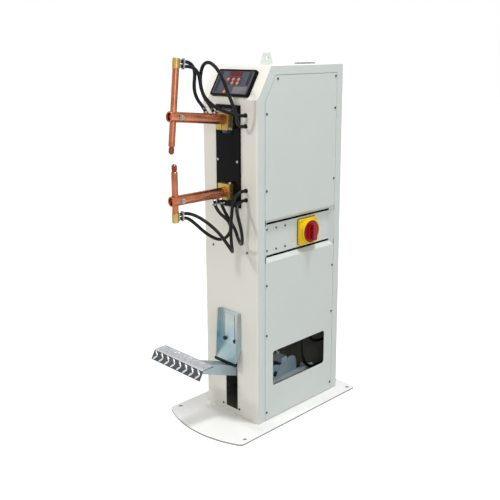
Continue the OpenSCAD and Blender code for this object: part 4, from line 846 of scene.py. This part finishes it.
def floor_side(place, normal):
    # Painted shade: edges and hole walls take the darker grey, and the top inside the casing the dark inside
    # paint.
    if abs(normal.z) < 0.5:
        return 1
    inside = abs(place.x) < HALF_W - SHEET and SHEET < place.y < DEPTH - SHEET
    return 2 if normal.z > 0 and inside else 0


def add_recess_ends():
    """Close the mitred corners between the lips of the switch recess and its slanted ends."""
    ends = []
    x, wide, thick = 123, 17, 1.2
    slant = math.atan2(9, 14)
    for y, turn in ((43.1, -slant), (377.9, slant)):
        for low, high, lip, out in ((690, 711, 703.5, 1), (565, 586, 572.5, -1)):
            end = block(at(x, y, (low + high) / 2), (wide, thick, high - low), turn)
            shaping(True)
            pick_all()
            bpy.ops.mesh.bisect(plane_co=at(x, y, lip), plane_no=(-13, 0, 14 * out), clear_outer=True,
                                use_fill=True)
            shaping(False)
            ends.append(round_edges(end, 0.15))
    fit(coat(join(ends, "recess_corners"), paint_shaded_copy), "cabinet")


def add_sheet_metal():
    soften("cabinet_casing", "folded_casing", 0.5, paint_lit_copy, paint_shaded_copy, inside_painted_shade, paint=casing_side)
    for panel, way in INSIDE_OF.items():
        soften(panel, "pressed_" + panel, 0.4, paint_shaded_copy, inside_painted_shade, paint=inward(way))
    soften("base_plate", "floor_plate", 0.8, base_paint, edge_painted_shade, inside_painted_shade, paint=floor_side,
           shape=mark_footprint)
    soften("lifting_lug", "lifting_eye", 0.8, paint_shaded_copy)
    soften("stop_hood", "folded_stop_hood", 0.6, zinc_sheet)
    buffer = block(at(0, -27.5, 202), (105, 11, 11))
    buffer.name = "stop_buffer"
    round_edges(buffer, 2.4, 4)
    fit(coat(buffer, edge_rubber), "cabinet", "stop_rubber")
    add_recess_ends()
    soften("insulating_plate", "fibre_plate", 0.8, fibre_sheet)


# Screws

SCREW_H = 2.4
REAR_SCREW_LENGTH = 8.5
HOOD_BOLT_WIDTH = 12
PLATE_FRONT, PLATE_SCREW_FRONT, HOOD_FRONT = -8, -9, -3


def model_screw(width, drive):
    """A domed head with a cross or a slot cut in it, its seat at the origin and its top along z."""
    head = cylinder(28, width / 2, SCREW_H, SCREW_H / 2)
    keep_place()
    shaping(True)
    pick(head, "EDGE", lambda place, way: place.z > SCREW_H - 0.01)
    bpy.ops.mesh.bevel(offset=SCREW_H * 0.62 * MM, segments=5, profile=0.5)
    shaping(False)
    turns, length = ((0, 90), 0.56) if drive == "cross" else ((0,), 1.2)
    for turn in turns:
        blade = block((0, 0, SCREW_H * MM), (width * length, width * 0.15, 1.7), math.radians(turn + 35))
        cut(head, blade)
        bpy.data.objects.remove(blade)
    hold(head)
    return settle(head)


def add_panel_screws():
    wide, narrow = 8, 7
    places = {wide: [], narrow: []}
    for solid in loose_solids("cover_screws"):
        low, high = box_of(solid)
        middle = (low + high) / 2
        side = RIGHT if middle.x > 0 else -RIGHT
        if high.y - low.y > REAR_SCREW_LENGTH:
            places[wide].append(facing(at(middle.x, DEPTH, middle.z), BACK, UP))
        elif max(abs(low.x), abs(high.x)) > HALF_W:
            places[wide].append(facing(at(side.x * HALF_W, middle.y, middle.z), side, UP))
        else:
            places[narrow].append(facing(at(side.x * SWITCH_PANEL_X, middle.y, middle.z), side, UP))
        bpy.data.objects.remove(solid)
    heads = [place_copies(model_screw(width, "cross"), "panel_screws", places[width]) for width in places]
    fit(coat(join(heads), screw_zinc), "cabinet", "cover_screws")


def model_hex_head():
    """A hexagon head with a raised middle, at the height where it stands on its washer."""
    head = cylinder(6, 7.5, 5.3, 4.25)
    shaping(True)
    pick(head, "FACE", lambda place, way: way.z > 0.9)
    bpy.ops.mesh.inset(thickness=1.1 * MM)
    bpy.ops.mesh.inset(thickness=2.2 * MM)
    bpy.ops.transform.translate(**move(0, 0, 0.7))
    shaping(False)
    modify(head, "BEVEL", width=0.35 * MM, segments=2)
    return settle(head)


def model_washer():
    washer = cylinder(40, 8, 1.6, 0.8)
    shaping(True)
    pick(washer, "FACE", lambda place, way: abs(way.z) > 0.9)
    bpy.ops.mesh.inset(thickness=3.6 * MM)
    bpy.ops.mesh.bridge_edge_loops()
    shaping(False)
    modify(washer, "BEVEL", width=0.3 * MM, segments=2)
    return settle(washer)


def add_front_screws():
    panel, plate, bolt = [], [], []
    for solid in loose_solids("front_screws"):
        low, high = box_of(solid)
        x, _, z = (low + high) / 2
        if high.x - low.x > HOOD_BOLT_WIDTH:
            bolt.append(facing(at(x, HOOD_FRONT, z), -BACK, (0.3, 0, 1)))
        elif low.y < PLATE_SCREW_FRONT:
            plate.append(facing(at(x, PLATE_FRONT, z), -BACK, UP))
        else:
            panel.append(facing(at(x, 0, z), -BACK, UP))
        bpy.data.objects.remove(solid)

    def add_set(model, name, places, finish):
        fit(coat(place_copies(model, name, places), finish), "cabinet", "front_screws")
    add_set(model_screw(8, "cross"), "front_panel_screws", panel, screw_zinc)
    add_set(model_screw(9, "slot"), "insulating_plate_screws", plate, zinc_bolt)
    add_set(model_hex_head(), "hood_bolts", bolt, blackened_bolt)
    add_set(model_washer(), "hood_washers", bolt, zinc_bolt)


# Pedal

TREAD_EDGE = Vector((0, -236, 275))
LIP_DOWN = Vector((0, -16.5, -31)).normalized()
LIP_OUT = Vector((0, -31, 16.5)).normalized()
BAR_X = 41
TEARS, TEAR_PITCH, TEAR_TURN = 8, 30.5, 42

# Middle, way out, lean and finish of each row of tears
# The tears on the lip take the painted highlight, those on the top the lit copy.
TEAR_ROWS = (
    (TREAD_EDGE + LIP_DOWN * 10.5, LIP_OUT, TEAR_TURN, tear_highlight_metal),
    (TREAD_EDGE + LIP_DOWN * 25.5, LIP_OUT, -TEAR_TURN, tear_highlight_metal),
    (TREAD_EDGE + BACK * 12, UP, TEAR_TURN, tread_lit_copy),
    (TREAD_EDGE + BACK * 33, UP, -TEAR_TURN, tread_lit_copy),
)


def roll_fold(piece):
    """Round the fold between the tread and its lip, whose rounded faces take a painted highlight."""
    pick(piece, "EDGE", lambda place, way: abs(way.x) > 0.9 and (place - TREAD_EDGE).yz.length < 1, CABINET)
    bpy.ops.mesh.bevel(offset=2.4 * MM, segments=5, profile=0.5)


def tread_side(place, normal):
    # Painted light: the flat top takes the lit copy, the rounded fold the painted highlight, and the lip and
    # the rest the shaded copy.
    if normal.z > 0.97:
        return 0
    return 2 if normal.z > 0.52 and normal.y < 0 else 1


def model_tears(middle, out, turn, finish):
    """One row of the raised tears of tread plate."""
    tear = start(bpy.ops.mesh.primitive_uv_sphere_add, segments=16, ring_count=8, radius=1,
                 scale=(11.5 * MM, 3.5 * MM, 1.5 * MM))
    settle(tear, 80)
    shaping(True)
    pick_all()
    bpy.ops.mesh.bisect(plane_co=(0, 0, -0.1 * MM), plane_no=UP, clear_inner=True, use_fill=True)
    shaping(False)
    lean = RIGHT * math.sin(math.radians(turn)) + out.cross(RIGHT) * math.cos(math.radians(turn))
    steps = [TEAR_PITCH * (k - (TEARS - 1) / 2) for k in range(TEARS)]
    places = [facing(at(*(middle + RIGHT * step)), out, lean) for step in steps]
    return coat(place_copies(tear, "tears", places), finish)


def add_pedal():
    # The lever's bar behind the window takes the pale painted-light zinc.
    soften("pedal_lever", "pedal_beam", 0.6, lever_zinc, bar_zinc_painted_light,
           paint=lambda place, normal: int(place.x > BAR_X))
    soften("pedal_tread", "pedal_foot_plate", 0.4, tread_lit_copy, tread_shaded_copy, tear_highlight_metal, paint=tread_side,
           shape=roll_fold)
    fit(join([model_tears(*row) for row in TEAR_ROWS], "foot_plate_tears"), "pedal")


# Arms, clamps and water fittings

CLIP_AT, CLIP_WIDTH = 13.5, 6
UPPER_CAP_Y, LOWER_CAP_Y = -274.5, -219.5
UPPER_NIPPLE, LOWER_NIPPLE = 28, 18.5

# Node, piece, rounding and finish of what both arms have
ARM_PIECES = (
    ("arm", "arm_bar", 0.8, copper_arm), ("holder", "electrode_holder", 0.7, copper_holder),
    ("tip", "electrode_tip", 0.5, copper_tip), ("clamp", "arm_clamp", 0.9, brass_block),
    ("cap", "water_cap", 0.8, brass_block),
)


def clip_places():
    """Where each hose clip sits on the upper arm and on the lower arm."""
    upper = [facing(on_rocker(UPPER_CAP_Y + CLIP_AT, z), ARM_BACK, ears)
             for z, ears in ((152, -ARM_UP), (166, ARM_UP))]
    lean = math.radians(42)
    out = ARM_UP * math.cos(lean) - ARM_BACK * math.sin(lean)
    upper += [facing(on_rocker(y, 0) + out * (UPPER_NIPPLE + CLIP_AT) * MM, out, RIGHT) for y in (-138, -104)]
    lower = [facing(at(0, LOWER_CAP_Y + CLIP_AT, z), BACK, ears) for z, ears in ((737, -UP), (751, UP))]
    lean = math.radians(15)
    out = RIGHT * math.sin(lean) - UP * math.cos(lean)
    lower += [facing(at(0, y, LOWER_ARM_Z) + out * (LOWER_NIPPLE + CLIP_AT) * MM, out, ears)
              for y, ears in ((-72, -BACK), (-45, BACK))]
    return upper, lower


def model_clip():
    """A spring band clip: an open band with two ears to squeeze, its ears towards y."""
    clip = cylinder(36, 5.35, CLIP_WIDTH, CLIP_WIDTH / 2, "NOTHING")
    settle(clip)
    shaping(True)
    pick(clip, "FACE", lambda place, way: way.y > 0.95)
    bpy.ops.mesh.delete(type="FACE")
    for side in (1, -1):
        pick(clip, "EDGE", lambda place, way: abs(way.z) > 0.9 and place.y > 0 and 0 < place.x * side < 1.9)
        bpy.ops.mesh.extrude_edges_move(TRANSFORM_OT_translate=move(side * -0.5, 1.6, 0))
        bpy.ops.mesh.extrude_edges_move(TRANSFORM_OT_translate=move(side * 2.6, 2.6, 0))
    shaping(False)
    modify(clip, "SOLIDIFY", thickness=0.9 * MM, offset=1)
    modify(clip, "BEVEL", width=0.2 * MM, segments=2, limit_method="ANGLE", angle_limit=math.radians(50))
    return settle(clip)


def add_fittings(node, name, places):
    """The nipples and bolts of one arm, with spring clips in place of the plain rings."""
    rings = [place @ Vector((0, 0, CLIP_WIDTH / 2 * MM)) for place in places]
    kept = []
    for solid in loose_solids(node):
        low, high = box_of(solid)
        if any((at(*((low + high) / 2)) - ring).length < 2 * MM for ring in rings):
            bpy.data.objects.remove(solid)
        else:
            kept.append(round_edges(solid, 0.4))
    fit(coat(join(kept, name), zinc_bolt), body_of[node], node)
    fit(coat(place_copies(model_clip(), name + "_clips", places), clip_steel), body_of[node], node)


def flatten(piece):
    """Press the flanges of the hose grommets almost flush with the front sheet."""
    pick(piece, "VERT", lambda place, way: place.y < -1, CABINET)
    bpy.ops.transform.translate(**move(0, 4.6, 0))


def add_arms():
    for node, name, width, finish in ARM_PIECES:
        for arm in ("lower_", "upper_"):
            soften(arm + node, arm + name, width, finish)
    soften("rocker", "cast_rocker", 0.8, alloy)
    upper, lower = clip_places()
    add_fittings("upper_fittings", "upper_arm_fittings", upper)
    add_fittings("lower_fittings", "lower_arm_fittings", lower)
    soften("hose_bushes", "hose_grommets", 0.4, paint_lit_copy, shape=flatten)
    collar = cylinder(32, 7.2, 7)
    round_edges(collar, 1.6, 3)
    places = [facing(at(BUSH_X, -3, z), -BACK, UP) for z in BUSH_HEIGHTS]
    fit(coat(place_copies(collar, "hose_collars", places), edge_rubber), "cabinet")


# Console

# Heights above the slope
FILM_TOP, RING_TOP, FIGURE_TOP, LAMP_TOP = 9.0, 9.1, 9.2, 9.9
PRINT_THICK, FIGURE_THICK = 0.14, 0.1
KEYS = ((-28, 65), (-4, 65), (20, 65), (-4, 52), (20, 52), (-25, 20))
KEY_RING, KEY_RING_R, KEY_PUNCH_R = 6, 5.9, 4.9
# Name, reach across, reach up the slope, corner radius and finish of each printed field
FILM_FIELDS = (
    ("right_stripe", (59, 71.5), (45, 92), 2, film_dark),
    ("left_stripe", (-75, -61), (19.5, 92.5), 2, film_dark),
    ("key_field", (-37, 37), (45, 74.5), 4, film_blue),
    ("fine_stripe", (41.2, 42.6), (56, 91), 0.5, film_blue),
    ("bare_field", (10.5, 73), (16, 40), 2, film_pale),
)
FIGURES, FIGURE_PITCH, FIGURE_S = 4, 13, 85
FLAT_BAR, TALL_BAR = 5, 4.2


def slope_frame(x, s, n):
    return facing(on_slope(x, s, n), SLOPE_OUT, SLOPE_UP)


def print_patch(name, across, up, radius, finish, high=FILM_TOP):
    """A printed field on the console film, with rounded corners."""
    (x0, x1), (s0, s1) = across, up
    patch = leaf(x1 - x0, s1 - s0)
    patch.name = name
    shaping(True)
    pick_all()
    bpy.ops.mesh.bevel(offset=radius * MM, segments=4, affect="VERTICES")
    thicken(PRINT_THICK)
    patch.matrix_world = slope_frame((x0 + x1) / 2, (s0 + s1) / 2, high)
    settle(patch)
    return coat(patch, finish)


def key_ring(x, s):
    across, up = ((middle - KEY_RING, middle + KEY_RING) for middle in (x, s))
    return print_patch("key_ring", across, up, KEY_RING_R, key_orange, RING_TOP)


def add_film_prints():
    fields = join([print_patch(*field) for field in FILM_FIELDS])
    rings = join([key_ring(*key) for key in KEYS])
    punch = cylinder(32, KEY_PUNCH_R, 4)
    punches = place_copies(punch, "key_punches", [slope_frame(*key, RING_TOP) for key in KEYS])
    for prints in (fields, rings):
        cut(prints, punches)
    bpy.data.objects.remove(punches)
    fit(join([fields, rings], "console_prints"), "cabinet")


def add_ready_lamp():
    lamp = cylinder(28, 2.8, 1.6)
    shaping(True)
    pick(lamp, "EDGE", lambda place, way: place.z > 0.7)
    bpy.ops.mesh.bevel(offset=1.1 * MM, segments=4)
    shaping(False)
    lamp.name = "ready_lamp"
    lamp.matrix_world = slope_frame(-27.4, 53.2, LAMP_TOP)
    fit(coat(settle(lamp), lamp_red), "cabinet")


def model_bar(length):
    """One bar of a seven-bar figure, pointed at both ends."""
    bar = leaf(length, 1.1)
    shaping(True)
    bpy.ops.mesh.bevel(offset=0.5 * MM, segments=1, affect="VERTICES")
    thicken(FIGURE_THICK)
    return settle(bar)


def add_display():
    soften("display_window", "display_lens", 0.3, display_red)
    flat, tall = [], []
    upright = Matrix.Rotation(math.pi / 2, 4, "Z")
    for k in range(FIGURES):
        x = FIGURE_PITCH * (k - (FIGURES - 1) / 2)
        flat += [slope_frame(x, FIGURE_S + s, FIGURE_TOP) for s in (-5, 0, 5)]
        tall += [slope_frame(x + aside, FIGURE_S + s, FIGURE_TOP) @ upright
                 for aside in (-2.9, 2.9) for s in (-2.5, 2.5)]
    figures = join([place_copies(model_bar(FLAT_BAR), "unlit_figures", flat),
                    place_copies(model_bar(TALL_BAR), "unlit_bars", tall)])
    fit(coat(figures, digit_red), "cabinet")


def roll_rim(piece):
    """Round the bezel's outer rim, but not the opening for the film."""
    def on_rim(place, way):
        x, s, n = slope_place(place)
        return n > 10.9 and (abs(x) > 86 or not 8.5 < s < 100.5)
    pick(piece, "EDGE", on_rim, CABINET)
    bpy.ops.mesh.bevel(offset=3.6 * MM, segments=5, profile=0.5)


def add_console():
    soften("control_bezel", "console_frame", 0.5, black_plastic, shape=roll_rim)
    soften("control_face", "console_sheet", 0.2, console_film)
    for k in range(1, len(KEYS) + 1):
        soften("key_%d" % k, "key_cap_%d" % k, 0.9, key_orange, segments=3)
    add_film_prints()
    add_ready_lamp()
    add_display()


# Main switch

GASKET_WIDTH, GASKET_R, GASKET_RIM, GASKET_THICK = 93, 7.3, 1.45, 1.6
MARK_PLACES = {"0": (12.05, -36.5, 36.5), "1": (12.05, 36.5, 36.5)}


def add_switch_gasket():
    ring = leaf(GASKET_WIDTH, GASKET_WIDTH)
    ring.name = "switch_gasket"
    shaping(True)
    pick_all()
    bpy.ops.mesh.bevel(offset=GASKET_R * MM, segments=6, affect="VERTICES")
    pick_all()
    bpy.ops.mesh.inset(thickness=GASKET_RIM * MM)
    bpy.ops.mesh.delete(type="FACE")
    thicken(GASKET_THICK)
    ring.matrix_world = facing(at(*SWITCH), RIGHT, UP)
    fit(coat(settle(ring), edge_rubber), "cabinet")


def add_switch_marks():
    marks = []
    for word, place in MARK_PLACES.items():
        mark = start(bpy.ops.object.text_add)
        mark.data.body = word
        mark.data.size = 9 * MM
        mark.data.extrude = 0.08 * MM
        mark.data.align_x, mark.data.align_y = "CENTER", "CENTER"
        bpy.ops.object.convert(target="MESH")
        mark = bpy.context.active_object
        mark.matrix_world = facing(at(*(SWITCH + Vector(place))), RIGHT, UP)
        marks.append(mark)
    fit(coat(join(marks, "switch_marks"), mark_black), "cabinet")


def add_switch():
    soften("main_switch", "switch_body", 1.3, switch_yellow, segments=3)
    soften("switch_knob", "switch_handle", 1.6, knob_red, segments=3)
    add_switch_gasket()
    add_switch_marks()


# Behind the covers

SHUNT_LEAVES, SHUNT_BEND, SHUNT_STEP = 6, 24.6, 1.5
SHUNT_LEFT, SHUNT_WIDTH = 11.5, 14
SHUNT_TURN_Y, SHUNT_TURN_Z, SHUNT_STRAIGHT_Z = 146, 936, 962
ROCKER_SEAT_Y, ROCKER_SEAT_Z, COIL_Y = 112, 984.4, 251.8


def shunt_route(bend):
    """One leaf's points: down from the rocker's slanted underside, round and back to the coil."""
    y = SHUNT_TURN_Y - bend
    turn = [math.radians(180 + 9 * step) for step in range(11)]
    return [(y, ROCKER_SEAT_Z - (y - ROCKER_SEAT_Y) * math.tan(OPEN)), (y, SHUNT_STRAIGHT_Z),
            *((SHUNT_TURN_Y + bend * math.cos(a), SHUNT_TURN_Z + bend * math.sin(a)) for a in turn),
            (COIL_Y, SHUNT_TURN_Z - bend)]


def add_shunt():
    """The flexible lead from the coil to the rocker: thin copper leaves, bent together."""
    strips = []
    for k in range(SHUNT_LEAVES):
        route = shunt_route(SHUNT_BEND + SHUNT_STEP * k)
        strip = start(bpy.ops.mesh.primitive_plane_add, size=MM, location=at(SHUNT_LEFT, *route[0]))
        settle(strip)
        shaping(True)
        bpy.ops.mesh.select_mode(type="VERT")
        pick_all()
        bpy.ops.mesh.merge(type="CENTER")
        for (y0, z0), (y1, z1) in zip(route, route[1:]):
            bpy.ops.mesh.extrude_vertices_move(TRANSFORM_OT_translate=move(0, y1 - y0, z1 - z0))
        pick_all()
        bpy.ops.mesh.extrude_edges_move(TRANSFORM_OT_translate=move(SHUNT_WIDTH, 0, 0))
        shaping(False)
        modify(strip, "SOLIDIFY", thickness=1.1 * MM, offset=0)
        strips.append(settle(strip))
    shunt = coat(join(strips, "shunt_leaves"), copper_bar)
    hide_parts("flexible_shunt")
    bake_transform(shunt)


def add_top_strip():
    """The dark blanking strip let into the top sheet near the back."""
    strip = block(at(-11, 380, HEIGHT + 1.5), (38, 69, 3))
    strip.name = "top_blanking_strip"
    shaping(True)
    pick(strip, "FACE", lambda place, way: way.z > 0.9)
    bpy.ops.mesh.inset(thickness=4 * MM)
    raise_by(-1.2)
    bpy.ops.mesh.inset(thickness=2 * MM)
    raise_by(1.2)
    shaping(False)
    round_edges(strip, 0.5)
    fit(coat(strip, black_plastic), "cabinet")


PLAIN_FINISH = {
    bracket_zinc_painted_light: ("fulcrum_bracket", "pivot_bracket"),
    zinc_bolt: ("pivot_shaft", "push_rod"),
    copper_bar: ("transformer_coil", "lower_conductor"),
    brass_block: ("pivot_bushes", "water_tails"),
    black_plastic: ("mains_gland",),
    dark_steel: ("transformer_core", "fulcrum_shaft", "pressure_spring"),
}
for finish, members in PLAIN_FINISH.items():
    for member in members:
        coat(nodes[member], finish)

add_sheet_metal()
add_panel_screws()
add_front_screws()
add_pedal()
add_arms()
add_console()
add_switch()
add_shunt()
add_top_strip()
